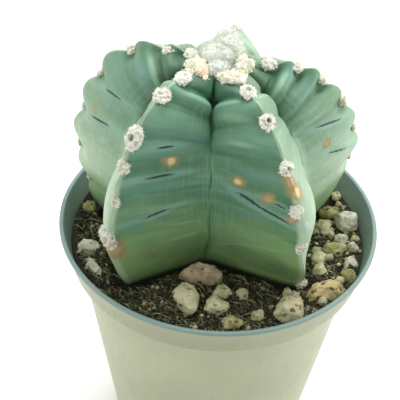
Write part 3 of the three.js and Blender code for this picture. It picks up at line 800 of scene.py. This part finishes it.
form = put(t, "GeometryNodeMergeByDistance", {"Geometry": form, "Distance": 0.002 * MM})
end_tree(t, form, given)
print("turned tree:", len(t.nodes), "nodes")

# %% [markdown]
# The pot is polypropylene, the soft plastic of nursery pots. It is a pale grey green, a little milky,
# and some light passes through its thin wall. The lip is bluer, where it is worn smooth. The collar is
# painted darker as shade, and a painted highlight runs along the step under it. The inside of the
# collar is darker, partly stained by damp soil and partly painted shade. Fine scuffs and
# dust from handling break up the gloss.

# %% Polypropylene and the pot
def from_axis(tree, place):
    """How far a place is from the pot's upright axis."""
    return put(tree, VECTOR_LENGTH, put(tree, VECTOR_TIMES, place, (1.0, 1.0, 0.0))).outputs["Value"]


polypropylene, t, shader = new_material("polypropylene_grey_green", 0.42, IOR=1.49)
shader.inputs["Subsurface Weight"].default_value = 0.25
shader.inputs["Subsurface Radius"].default_value = (6 * MM, 6 * MM, 6 * MM)
shader.inputs["Subsurface Scale"].default_value = 1.0
place = put(t, "ShaderNodeTexCoord").outputs["Object"]
cloud = put(t, NOISE, place, 30.0, 3.0)
stretch = put(t, VECTOR_TIMES, place, (1.0, 1.0, 0.12))
scuffs = put(t, NOISE, stretch, 900.0, 3.0)
dust = put(t, NOISE, place, 260.0, 5.0, 0.7)
height = put(t, SPLIT, place).outputs["Z"]
away = from_axis(t, place)
across = put(t, TIMES_PLUS, height, -0.27, away)
off_lit_step = put(t, ABSOLUTE, put(t, MINUS, height, 83.3 * MM))
outside = put(t, MATH, away, 50.6 * MM, operation="GREATER_THAN")
paint(t, shader, "9ca285", [
    ("clouds", "a9af90", (RANGE, cloud, 0.3, 0.7, 0.0, 1.0)),
    # Painted shade, darker from the collar up.
    ("painted_collar_shade", "777b63", (RANGE, height, 83.7 * MM, 84.3 * MM, 0.0, 0.4)),
    # Painted highlight along the outer step under the collar.
    ("painted_step_highlight", "d3d6bd", (RANGE, off_lit_step, 0.45 * MM, 0.15 * MM, 0.0, 0.6), outside),
    # Damp stain and painted shade on the inner wall above the soil.
    ("damp_stain_and_painted_shade", "52706a", (RANGE, across, 28.2 * MM, 27.8 * MM, 0.0, 0.75),
     (RANGE, height, 83.6 * MM, 84.2 * MM, 0.0, 1.0)),
    ("lip", "6b8583", (RANGE, height, 94.5 * MM, 95.1 * MM, 0.0, 0.85)),
    ("dust", "858b76", (RANGE, dust, 0.56, 0.75, 0.0, 0.35)),
])
t.links.new(put(t, RANGE, scuffs, 0.3, 0.7, 0.36, 0.52).outputs[0], shader.inputs["Roughness"])
scratch = put(t, "ShaderNodeBump", {"Strength": 0.12, "Distance": 0.1 * MM, "Height": scuffs})
t.links.new(scratch.outputs[0], shader.inputs["Normal"])
pot_line = rounded(POT_OUTLINE, 1.1, 6)
pot_start = start_mesh("pot_outline", [(MM * r, 0, MM * z) for r, z in pot_line])
pot = grow("pot_shell", pot_start, turned_tree, {
    "Sides": 224, "Points": len(pot_line), "Material": polypropylene,
})
keep(pot, "pot_plastic", "pot")

# %% [markdown]
# ## The soil
# The plant stands in dark fibrous peat. Its surface is a bed of small clods. The slow rise and fall is
# the same sum of waves that the solid has, so that the pebbles still sit in it. The clods are noise.
# Peat shrinks as it dries, so the bed is sunk where it meets the stem, and a dark gap shows there,
# deepened by painted shade; the bed is painted darker in all its hollows and paler on its clods.

# %% Peat finish
def earthy(name, dark, light, size, roughness):
    """A dull crumbly finish between two colours, with patches of a real size in millimetres."""
    material, tree, shader = new_material(name, roughness)
    where = put(tree, "ShaderNodeTexCoord").outputs["Object"]
    grain = put(tree, NOISE, where, 1 / (MM * size), 5.0, 0.65)
    # The stored tone adds to the grain: on the bed it is painted shade in hollows and painted light on clods,
    # on litter a random tone.
    tone = put(tree, "ShaderNodeAttribute", attribute_name="tone").outputs["Fac"]
    share = put(tree, PLUS, put(tree, RANGE, grain, 0.35, 0.68, 0.0, 0.7), tone)
    paint(tree, shader, dark, [("grain", light, share)])
    bump = put(tree, "ShaderNodeBump", {"Strength": 0.6, "Distance": 0.3 * MM, "Height": grain})
    tree.links.new(bump.outputs[0], shader.inputs["Normal"])
    return material


def wander(x, y, z, seed):
    """A slow sum of three waves, between -1 and 1."""
    return (np.sin(1.7 * x + 2.3 * y - 1.1 * z + 1.3 * seed)
            + np.sin(-2.9 * x + 1.9 * y + 2.1 * z + 4.1 * seed)
            + np.sin(3.7 * x - 3.1 * y + 3.3 * z + 2.7 * seed)) / 3


peat = earthy("damp_dark_peat", "11120b", "3b3b26", 1.8, 0.95)
soil_line = rounded(SOIL_OUTLINE[:-1], 0.8, 6) + [(r, 88) for r in np.linspace(48, 0, 110)]
soil_start = start_mesh("soil_outline", [(MM * r, 0, MM * z) for r, z in soil_line])
soil = grow("soil_surface", soil_start, turned_tree, {
    "Sides": 300, "Points": len(soil_line), "Material": peat,
})
for vertex in soil.data.vertices:
    x, y, z = vertex.co / MM
    inner = float(smooth_step((50.5 - math.hypot(x, y)) / 3)) * float(smooth_step((z - 86.5) / 1.2))
    unevenness = 0.7 * wander(0.11 * x, 0.11 * y, 0, 7) + 0.5 * wander(0.35 * x, 0.35 * y, 0, 8)
    vertex.co.z += MM * inner * unevenness
relief_tree, given = new_tree("clods", {"Clods": "Float", "Stem": "Object", "Sunk": "Float"})
t = relief_tree
position = put(t, POSITION)
top = put(t, RANGE, put(t, SPLIT, position).outputs["Z"], 86.2 * MM, 87.2 * MM, 0.0, 1.0)
inside = put(t, RANGE, from_axis(t, position), 50.9 * MM, 49.5 * MM, 0.0, 1.0)
coarse = put(t, NOISE, position, 190.0, 2.0, 0.6)
crumbly = put(t, NOISE, position, 520.0, 3.0, 0.7)
lift = put(t, TIMES_PLUS, put(t, MINUS, coarse, 0.53), 1.3, crumbly)
lift = put(t, TIMES, put(t, MINUS, lift, 0.45), given["Clods"])
lift = put(t, TIMES, put(t, TIMES, lift, top), inside)
plant = put(t, "GeometryNodeObjectInfo", given["Stem"]).outputs["Geometry"]
from_stem = put(t, "GeometryNodeProximity", plant).outputs["Distance"]
beside = put(t, SOFT_RANGE, from_stem, 0.0, 6.5 * MM, 1.0, 0.0)
beside = put(t, TIMES, put(t, TIMES, beside, top), inside)
lift = put(t, TIMES_PLUS, beside, put(t, TIMES, given["Sunk"], -1.0), lift)
bed = put(t, MOVE, {"Geometry": given["Geometry"], "Offset": put(t, JOIN, 0.0, 0.0, lift)})
# Painted shade and light: the bed is darker where it lies low, most in the gap by the stem, and paler where
# it stands high.
tone = put(t, RANGE, lift, -4 * MM, 1.4 * MM, -0.8, 0.35)
bed = put(t, STORE_NUMBER, {"Geometry": bed, "Name": "tone", "Value": tone})
end_tree(t, bed, given)
soil_bed = grow("soil_bed", soil.data, relief_tree, {
    "Clods": 3 * MM, "Stem": stem, "Sunk": 3.8 * MM, "Material": peat,
})
bpy.data.objects.remove(soil)
keep(soil_bed, "soil_mix", "soil")

# %% [markdown]
# ## Pumice
# The pebbles are pumice, a light rock full of gas holes, broken to angular bits and washed to round
# their corners. Each starts from its own solid, so it keeps its place and size. Flat faces come from
# a dozen directions: a face lies square to the direction it is nearest to. Pits are sunk last.

# %% Tree: an angular pitted stone
stone_tree, given = new_tree("pumice stone", {
    "Centre": "Vector", "Seed": "Int", "Pits": "Float", "Level": "Int",
})
t = stone_tree
split = put(t, "GeometryNodeSubdivideMesh", {"Mesh": given["Geometry"], "Level": 1})
fine = put(t, "GeometryNodeSubdivisionSurface", {"Mesh": split, "Level": given["Level"]})
position = put(t, POSITION)
arm = put(t, VECTOR_MINUS, position, given["Centre"])
toward = put(t, VECTOR_UNIT, arm)
shake = put(t, RANDOM_VECTOR, {"Min": (-0.5,) * 3, "Max": (0.5,) * 3, "Seed": given["Seed"]})
ball = put(t, "GeometryNodeMeshIcoSphere", {"Radius": 1.0, "Subdivisions": 1})
shaken = put(t, VECTOR_UNIT, put(t, VECTOR_PLUS, put(t, POSITION), shake))
ball = put(t, MOVE, {"Geometry": ball, "Position": shaken})
nearest = put(t, "GeometryNodeSampleNearest", ball, toward)
facing = put(t, SAMPLE_VECTOR, ball, put(t, POSITION), nearest)
slant = put(t, VECTOR, toward, facing, operation="DOT_PRODUCT").outputs["Value"]
flat = put(t, OVER, 0.9, slant)
reach = put(t, TIMES_PLUS, put(t, MINUS, flat, 1.0), 0.8, 1.0)
reach = put(t, LESSER, reach, 1.2)
faced = put(t, VECTOR_PLUS, put(t, VECTOR_SCALED, arm, reach), given["Centre"])
stone = put(t, MOVE, {"Geometry": fine, "Position": faced})
position = put(t, POSITION)
holes = put(t, "ShaderNodeTexVoronoi", position, 430.0)
pit = put(t, SOFT_RANGE, holes, 0.42, 0.2, 0.0, 1.0)
where = put(t, NOISE, position, 240.0, 1.0)
pit = put(t, TIMES, pit, put(t, RANGE, where, 0.48, 0.58, 0.0, 1.0))
rough = put(t, NOISE, position, 480.0, 4.0, 0.65)
rough = put(t, TIMES_PLUS, rough, 2.0 * MM, -0.9 * MM)
sunk = put(t, MINUS, put(t, TIMES, pit, given["Pits"]), rough)
stone = put(t, STORE_NUMBER, {"Geometry": stone, "Name": "pit", "Value": pit})
inward = put(t, VECTOR_SCALED, put(t, "GeometryNodeInputNormal"), put(t, TIMES, sunk, -1.0))
stone = put(t, MOVE, {"Geometry": stone, "Offset": inward})
end_tree(t, stone, given)
print("stone tree:", len(t.nodes), "nodes")


# %% [markdown]
# Pumice is dull and porous. Iron stains its pale grain in patches, and the pits are painted darker as shade.
# Five tones are enough, as the stones are of one kind, and each stone takes the tone it has in place.

# %% Pumice finishes and the stones
def pumice(name, light, shade, pit_shade):
    """Dull porous rock: pale grain, a darker stain, and brown painted shade in the pits."""
    material, tree, shader = new_material(name, 0.92)
    where = put(tree, "ShaderNodeTexCoord").outputs["Object"]
    stain = put(tree, NOISE, where, 210.0, 4.0, 0.6)
    grain = put(tree, NOISE, where, 1500.0, 4.0, 0.7)
    amount = put(tree, RANGE, stain, 0.42, 0.62, 0.0, 0.9)
    pit_fact = put(tree, "ShaderNodeAttribute", attribute_name="pit").outputs["Fac"]
    # Painted shade in the pits, with a darker fine grain.
    deep = put(tree, PLUS, pit_fact, put(tree, RANGE, grain, 0.5, 0.75, 0.0, 0.5))
    paint(tree, shader, light, [("stain", shade, amount), ("pit_shade", pit_shade, deep)])
    bump = put(tree, "ShaderNodeBump", {"Strength": 0.7, "Distance": 0.3 * MM, "Height": grain})
    tree.links.new(bump.outputs[0], shader.inputs["Normal"])
    return material


rocks = [
    pumice("pumice_beige", "ccc7a2", "a5a074", "6f6647"),
    pumice("pumice_yellow_green", "b5b07c", "8b8a54", "5c5634"),
    pumice("pumice_grey", "dad8c4", "b4b299", "716a55"),
    pumice("pumice_pinkish", "c4b493", "978468", "57452f"),
    pumice("bark_like_crust", "c4b585", "978a5a", "57462c"),
]
# The tone of each stone that isn't beige.
ROCK_OF = {1: 2, 2: 2, 3: 1, 4: 3, 9: 1, 12: 1, 14: 2, 15: 2, 16: 1, 19: 4, 20: 1, 21: 2, 23: 2, 24: 2}
for name in sorted(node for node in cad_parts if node.startswith("stone")):
    number = int(name[-2:])
    copy = bmesh.new()
    copy.from_mesh(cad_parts[name].data)
    bmesh.ops.remove_doubles(copy, verts=copy.verts, dist=0.01 * MM)
    rough_stone = bpy.data.meshes.new(name + "_start")
    copy.to_mesh(rough_stone)
    copy.free()
    low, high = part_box(name)
    piece = grow("pumice_" + name[-2:], rough_stone, stone_tree, {
        "Centre": (low + high) / 2, "Seed": number, "Pits": 0.55 * MM,
        "Level": 2 if max(high - low) > 6.5 * MM else 1, "Material": rocks[ROCK_OF.get(number, 0)],
    })
    keep(piece, "pumice", name)

# %% [markdown]
# ## Wool
# An areole is a cushion of felted hair, clumped like popcorn, and some have a dark hole where a spine
# or a flower was. A pad is a ball pressed to size, clumped by cells, with short curved hairs planted
# on it. The same tree makes the felt over the growing point and the dried remains of flowers there,
# with other sizes.

# %% Tree: felted lumps with hairs
felt_tree, given = new_tree("felted lumps", {
    "Clump": "Float", "Clump size": "Float", "Hairs": "Float", "Hair length": "Float", "Hair width": "Float",
    "Seed": "Int",
})
t = felt_tree
ball = put(t, "GeometryNodeMeshIcoSphere", {"Radius": 0.5, "Subdivisions": 5})
ball = put(t, STORE_VECTOR, {"Geometry": ball, "Name": "local", "Value": put(t, POSITION)})
turn = put(t, "FunctionNodeEulerToRotation", put(t, NAMED_VECTOR, "turn"))
size = put(t, NAMED_VECTOR, "size")
lumps = put(t, "GeometryNodeInstanceOnPoints", {
    "Points": given["Geometry"], "Instance": ball, "Rotation": turn, "Scale": size,
})
lumps = put(t, "GeometryNodeRealizeInstances", lumps)
position = put(t, POSITION)
cells = put(t, "ShaderNodeTexVoronoi", position, put(t, OVER, 1.0, given["Clump size"]))
fuzz = put(t, NOISE, position, 1500.0, 2.0)
broad = put(t, NOISE, position, 350.0, 1.0)
swell = put(t, TIMES, put(t, MINUS, 0.55, cells), given["Clump"])
soft = put(t, TIMES, put(t, MINUS, fuzz, 0.5), given["Clump"])
uneven = put(t, TIMES, put(t, MINUS, broad, 0.5), given["Clump"])
local_z = put(t, SPLIT, put(t, NAMED_VECTOR, "local")).outputs["Z"]
rim = put(t, SOFT_RANGE, local_z, 0.46, 0.49, 0.0, 1.0)
hole = put(t, TIMES, rim, put(t, NAMED_NUMBER, "hole"))
grow_out = put(t, PLUS, put(t, PLUS, swell, soft), put(t, TIMES, uneven, 1.2))
grow_out = put(t, TIMES_PLUS, hole, -1.5 * MM, grow_out)
lumps = put(t, STORE_NUMBER, {"Geometry": lumps, "Name": "dark", "Value": hole})
outward = put(t, VECTOR_SCALED, put(t, "GeometryNodeInputNormal"), grow_out)
lumps = put(t, MOVE, {"Geometry": lumps, "Offset": outward})
bent = put(t, "GeometryNodeCurveQuadraticBezier", 3, (0.0, 0.0, -0.1), (0.0, 0.0, 0.6), (0.55, 0.0, 0.85))
ring = put(t, "GeometryNodeCurvePrimitiveCircle", {"Resolution": 3, "Radius": given["Hair width"]},
           mode="RADIUS").outputs["Curve"]
hair = put(t, "GeometryNodeCurveToMesh", {"Curve": bent, "Profile Curve": ring, "Fill Caps": True})
spread = put(t, "GeometryNodeDistributePointsOnFaces", {
    "Mesh": lumps, "Density": given["Hairs"], "Seed": given["Seed"],
}, distribute_method="RANDOM")
twist = put(t, RANDOM_VECTOR, {"Min": (-0.7, -0.7, 0.0), "Max": (0.7, 0.7, 6.28), "Seed": given["Seed"]})
twist = put(t, "FunctionNodeEulerToRotation", twist)
lean = put(t, "FunctionNodeRotateRotation", spread.outputs["Rotation"], twist, rotation_space="LOCAL")
long = put(t, RANDOM_NUMBER, {"Min": 0.5, "Max": 1.3, "Seed": given["Seed"]})
long = put(t, TIMES, long, given["Hair length"])
hairs = put(t, "GeometryNodeInstanceOnPoints", {
    "Points": spread, "Instance": hair, "Rotation": lean, "Scale": long,
})
together = put(t, "GeometryNodeJoinGeometry", lumps)
t.links.new(hairs.outputs[0], together.inputs[0])
end_tree(t, together, given)
print("felt tree:", len(t.nodes), "nodes")


# %% [markdown]
# Wool is plant hair, a dull off-white that scatters light. Dust and age stain it, and the
# holes are dark brown. Dried flower remains are cream and tan, crumbly like stale bread.

# %% Wool and petal finishes
def fluffy(name, light, stain, deep, roughness):
    """A soft dull finish with stains, and a dark colour in the holes."""
    material, tree, shader = new_material(name, roughness, Sheen_Weight=0.25)
    where = put(tree, "ShaderNodeTexCoord").outputs["Object"]
    spots = put(tree, NOISE, where, 620.0, 4.0, 0.65)
    aged = put(tree, "ShaderNodeAttribute", attribute_name="aged").outputs["Fac"]
    amount = put(tree, RANGE, spots, 0.5, 0.66, 0.0, 0.85)
    amount = put(tree, PLUS, amount, aged, use_clamp=True)
    dark = put(tree, "ShaderNodeAttribute", attribute_name="dark").outputs["Fac"]
    paint(tree, shader, light, [("stain", stain, amount), ("holes", deep, dark)])
    return material


areole_felt = fluffy("areole_wool_felt", "eaebde", "a9a48c", "453a30", 0.95)
crown_wool_felt = fluffy("crown_wool_felt", "e2e6db", "c6cec1", "6d6a5c", 0.95)
dried_petal = fluffy("dried_petal_crumb", "efeedb", "d3ceac", "8b7453", 0.9)
fresh_petal = fluffy("peach_flower_bud", "f2dcbf", "e6bd94", "8b5a30", 0.8)


def crest_spot(rib_number, place):
    """The skin's place at an areole, and its sideways, upward and outward directions there."""
    crest, _, sides, _ = rib_lines(RIBS[rib_number], RIBS[(rib_number + 1) % 5], 1)
    spots = []
    for at in (place + 1.5, place, place - 1.5):
        angle, radius, height = [np.interp(at, row_length[::-1], crest[::-1, axis]) / MM ** (axis > 0)
                                 for axis in range(3)]
        radius -= RIBS[rib_number]["notch"] * (at == place)
        height += np.interp(place, row_length[::-1], sides[0][::-1, 2]) / MM
        rise = height + LIP_HEIGHT - SOIL_HEIGHT
        x = STEM_AXIS[0] + STEM_LEAN[0] * rise + radius * math.cos(angle)
        y = STEM_AXIS[1] + STEM_LEAN[1] * rise + radius * math.sin(angle)
        spots.append(Vector((x, y, LIP_HEIGHT + height)))
        side = Vector((-math.sin(angle), math.cos(angle), 0))
    upward = (spots[2] - spots[0]).normalized()
    return spots[1], side, upward, side.cross(upward).normalized()


def turn_of(side, upward, outward):
    """Euler angles of a pad whose own axes point sideways, along the crest and outwards."""
    return tuple(Matrix((side, upward, outward)).transposed().to_euler())


pad_places, pads = [], {"turn": [], "size": [], "hole": [], "aged": []}
for rib_number, rib in enumerate(RIBS):
    for number, (place, wide, thick, long, hole, *aside) in enumerate(rib["areoles"]):
        spot, side, upward, outward = crest_spot(rib_number, place)
        pad_places.append((spot + outward * 0.18 * thick + side * sum(aside)) * MM)
        pads["turn"].append(turn_of(side, upward, outward))
        pads["size"].append((MM * wide, MM * long, MM * thick))
        pads["hole"].append(hole)
        pads["aged"].append(0.08 * number + 0.1 * (rib_number in (2, 4)))
wool = grow("areole_wool", start_mesh("areole_places", pad_places, **pads), felt_tree, {
    "Clump": 1.0 * MM, "Clump size": 0.85 * MM, "Hairs": 1.1e6, "Hair length": 0.65 * MM, "Hair width": 0.085,
    "Seed": 3, "Material": areole_felt,
})
keep(wool, "wool")

# %% [markdown]
# The growing point lies in a hollow at the top, under a cap of the finest wool. Cream crumbs of old
# flowers are stuck to its front and right, and one peach-coloured bud is just opening on the left.

# %% The crown
GROWING_POINT = Vector((-3.571, 2.064, 157))
# A lump is its place from the growing point, then its size across, from front to back and upwards.
FELT_LUMPS = [(0.2, 1.5, 2.6, 11, 10, 8), (0.4, -4.6, 2.2, 8.6, 6, 5.4), (3.4, 5.6, 3.2, 9.6, 9.5, 8),
              (3, 10.2, 3.2, 8.5, 7.5, 7.4)]
FLOWER_LUMPS = [(5, -8.6, 1.2, 8.4, 6.2, 4.8), (8.4, -2.4, 3, 6.6, 5.2, 4.8), (-6, -4.2, 1.8, 7.4, 7, 5.4),
                (-3.6, -6.8, 1.4, 6.4, 4.8, 4), (1.4, -7.6, 1.6, 5.2, 4.4, 4), (7.2, -5.4, 1.8, 4.6, 4, 4)]
BUD_LUMPS = [(-4.6, -7.4, 2.2, 4.8, 4.4, 4.2)]


def lumps_at(name, lumps):
    """Points for a group of lumps round the growing point."""
    return start_mesh(
        name, [(GROWING_POINT + Vector(lump[:3])) * MM for lump in lumps],
        turn=[(0, 0, 0.7 * number) for number in range(len(lumps))],
        size=[tuple(MM * side for side in lump[3:]) for lump in lumps],
        hole=[0] * len(lumps), aged=[0] * len(lumps),
    )


for name, lumps, clump, clump_size, hairs, hair_length, hair_width, seed, finish, stands_for in (
    ("crown_felt", FELT_LUMPS, 0.7, 1.1, 4.5e6, 1.1, 0.045, 5, crown_wool_felt, ["crown_wool"]),
    ("flower_remains", FLOWER_LUMPS, 1.9, 1.9, 0.9e6, 0.8, 0.12, 7, dried_petal, []),
    ("peach_bud", BUD_LUMPS, 0.9, 1.6, 0.6e6, 0.5, 0.2, 9, fresh_petal, []),
):
    piece = grow(name, lumps_at(name + "_places", lumps), felt_tree, {
        "Clump": clump * MM, "Clump size": clump_size * MM, "Hairs": hairs, "Hair length": hair_length * MM,
        "Hair width": hair_width, "Seed": seed, "Material": finish,
    })
    keep(piece, "wool", *stands_for)

# %% [markdown]
# ## Litter on the soil
# Peat breaks into crumbs, and straw and root fibres lie on it. Both are copies of one small shape,
# scattered with a fixed seed, turned and sized at random. A ray sent straight up finds the spots that
# lie inside the stem, where it meets the skin from within, and those are left out.

# %% Tree: scatter small copies on the soil
litter_tree, given = new_tree("soil litter", {
    "Stem": "Object", "Copy": "Object", "Density": "Float", "Smallest": "Float", "Largest": "Float",
    "Lift": "Float", "Tilt": "Float", "Dents": "Float", "Right of": "Float", "Seed": "Int",
})
t = litter_tree
position = put(t, POSITION)
x, _, z = put(t, SPLIT, position).outputs
on_top = put(t, BOTH, put(t, ABOVE, z, 86 * MM), put(t, BELOW, from_axis(t, position), 49.6 * MM))
on_top = put(t, BOTH, on_top, put(t, ABOVE, x, given["Right of"]))
spread = put(t, "GeometryNodeDistributePointsOnFaces", {
    "Mesh": given["Geometry"], "Selection": on_top, "Density": given["Density"], "Seed": given["Seed"],
}, distribute_method="RANDOM")
plant = put(t, "GeometryNodeObjectInfo", given["Stem"]).outputs["Geometry"]
ray = put(t, "GeometryNodeRaycast", {
    "Target Geometry": plant, "Ray Direction": (0.0, 0.0, 1.0), "Ray Length": 0.3,
})
up_facing = put(t, ABOVE, put(t, SPLIT, ray.outputs["Hit Normal"]).outputs["Z"], 0.0)
within = put(t, BOTH, ray.outputs["Is Hit"], up_facing)
beside = put(t, BELOW, put(t, "GeometryNodeProximity", plant).outputs["Distance"], 2.8 * MM)
within = put(t, EITHER, within, beside)
clear = put(t, "GeometryNodeDeleteGeometry", {"Geometry": spread, "Selection": within}, domain="POINT")
size = put(t, RANDOM_NUMBER, {"Min": 0.0, "Max": 1.0, "Seed": given["Seed"]})
small = put(t, POWER, size, 2.2)
size = put(t, RANGE, small, 0.0, 1.0, given["Smallest"], given["Largest"])
spin = put(t, RANDOM_NUMBER, {"Min": 0.0, "Max": 6.283, "Seed": given["Seed"]})
seed_two = put(t, PLUS, given["Seed"], 11.0)
nod = put(t, RANDOM_NUMBER, {"Min": -1.0, "Max": 1.0, "Seed": seed_two})
nod = put(t, TIMES, nod, given["Tilt"])
turn = put(t, "FunctionNodeEulerToRotation", put(t, JOIN, nod, nod, spin))
pieces = put(t, "GeometryNodeInstanceOnPoints", {
    "Points": clear, "Instance": put(t, "GeometryNodeObjectInfo", given["Copy"]).outputs["Geometry"],
    "Rotation": turn, "Scale": size,
})
seed_three = put(t, PLUS, given["Seed"], 23.0)
tone = put(t, RANDOM_NUMBER, {"Min": -0.35, "Max": 0.6, "Seed": seed_three})
pieces = put(t, STORE_NUMBER, {"Geometry": pieces, "Name": "tone", "Value": tone}, domain="INSTANCE")
pieces = put(t, "GeometryNodeRealizeInstances", pieces)
dent = put(t, NOISE, put(t, POSITION), 700.0, 1.0)
push = put(t, VECTOR_SCALED, put(t, VECTOR_MINUS, dent.outputs["Color"], (0.5, 0.5, 0.5)), given["Dents"])
pieces = put(t, MOVE, {"Geometry": pieces, "Offset": push})
raise_by = put(t, JOIN, 0.0, 0.0, given["Lift"])
pieces = put(t, MOVE, {"Geometry": pieces, "Offset": raise_by})
end_tree(t, pieces, given)
print("litter tree:", len(t.nodes), "nodes")

# %% [markdown]
# A crumb is a ball of twenty faces, and the tree dents each copy differently. A pebble is the same with
# more faces, and lies only on the right, where the dressing of pumice is thick. A fibre is a thin bent
# strip with three sides.

# %% Crumbs and fibres
def ball_shape(name, subdivisions):
    """A ball one unit across with few faces."""
    shape = bmesh.new()
    bmesh.ops.create_icosphere(shape, subdivisions=subdivisions, radius=0.5)
    mesh = bpy.data.meshes.new(name)
    shape.to_mesh(mesh)
    shape.free()
    return bpy.data.objects.new(name, mesh)


def strip(name, bend, width, steps):
    """A thin three-sided strip one unit long, bent sideways and upwards."""
    rings = []
    for k in range(steps + 1):
        s = k / steps - 0.5
        middle = Vector((s, bend * (0.25 - s * s) * 2, 0.12 * bend * math.sin(4 * s)))
        half_width = width * (1 - 1.2 * abs(s))
        rings.append([middle + half_width * Vector((0, math.cos(a), math.sin(a))) for a in (0.5, 2.6, 4.7)])
    points = [point for ring in rings for point in ring]
    faces = [(3 * k + a, 3 * k + (a + 1) % 3, 3 * k + 3 + (a + 1) % 3, 3 * k + 3 + a)
             for k in range(steps) for a in range(3)]
    faces += [(2, 1, 0), (3 * steps, 3 * steps + 1, 3 * steps + 2)]
    return bpy.data.objects.new(name, start_mesh(name, points, (), faces))


crumb_peat = earthy("peat_crumb", "17170e", "56533a", 1.4, 0.95)
grit_stone = earthy("pale_grit", "7d7757", "b5ad8a", 1.0, 0.95)
straw = earthy("dry_straw_fibre", "55562f", "c6c48e", 3.0, 0.8)
crumb = ball_shape("crumb_shape", 1)
for name, shape, finish, density, smallest, largest, lift, tilt, dents, right_of, seed in (
    ("soil_crumbs", crumb, crumb_peat, 0.7e6, 0.5, 2.0, 0.1, 1.5, 1.4, -60, 4),
    ("soil_grit", crumb, grit_stone, 0.07e6, 0.6, 1.8, 0.4, 1.5, 1.4, -60, 8),
    ("soil_pebbles", ball_shape("pebble_shape", 2), rocks[0], 0.06e6, 1.0, 3.4, 0.3, 1.5, 2.2, 24, 5),
    ("soil_fibres", strip("fibre_shape", 0.28, 0.021, 4), straw, 0.5e6, 1.2, 6.5, 0.6, 0.5, 1.4, -60, 6),
):
    piece = grow(name, soil_bed.data, litter_tree, {
        "Stem": stem, "Copy": shape, "Density": density, "Smallest": smallest * MM, "Largest": largest * MM,
        "Lift": lift * MM, "Tilt": tilt, "Dents": dents * MM, "Right of": right_of * MM, "Seed": seed,
        "Material": finish,
    })
    keep(piece, "soil_mix")

# %% [markdown]
# ## Stage and light
# The picture is bright and soft, with most of the light from above, behind and the sides, so the
# flanks that turn to the viewer are the darker ones. Large lamps and a pale sky give that. The floor
# is plain and pale.

# %% Floor, lamps and sky
def add_lamp(name, place, aim, side, power):
    """Add one square soft white lamp that points at a place."""
    lamp = bpy.data.objects.new(name, bpy.data.lights.new(name, "AREA"))
    bpy.context.scene.collection.objects.link(lamp)
    lamp.data.shape = "SQUARE"
    lamp.data.size = side
    lamp.data.energy = power
    lamp.location = place
    lamp.rotation_euler = (Vector(aim) - Vector(place)).to_track_quat("-Z", "Y").to_euler()


bpy.ops.mesh.primitive_plane_add(size=8, location=(0, 0, -0.3 * MM))
floor = bpy.context.object
floor.name = "floor"
white_paper, _, shader = new_material("matt_white_paper", 0.9)
shader.inputs["Base Color"].default_value = linear("fbfbf8")
floor.data.materials.append(white_paper)
middle = (0, 0, 0.1)
add_lamp("lamp_above", (0.1, 0.3, 0.9), middle, 0.7, 7)
add_lamp("lamp_behind", (0.1, 1.0, 0.45), middle, 0.8, 4)
add_lamp("lamp_right", (0.8, 0.15, 0.35), middle, 0.6, 4.7)
add_lamp("lamp_left", (-0.8, 0.1, 0.4), middle, 0.6, 3.1)
add_lamp("lamp_front", (-0.45, -0.8, 0.6), middle, 0.8, 2)
sky = bpy.data.worlds.new("pale_sky")
bpy.context.scene.world = sky
sky.use_nodes = True
sky.node_tree.nodes["Background"].inputs["Color"].default_value = linear("ffffff")
sky.node_tree.nodes["Background"].inputs["Strength"].default_value = 0.46
bpy.context.scene.view_settings.view_transform = "Standard"
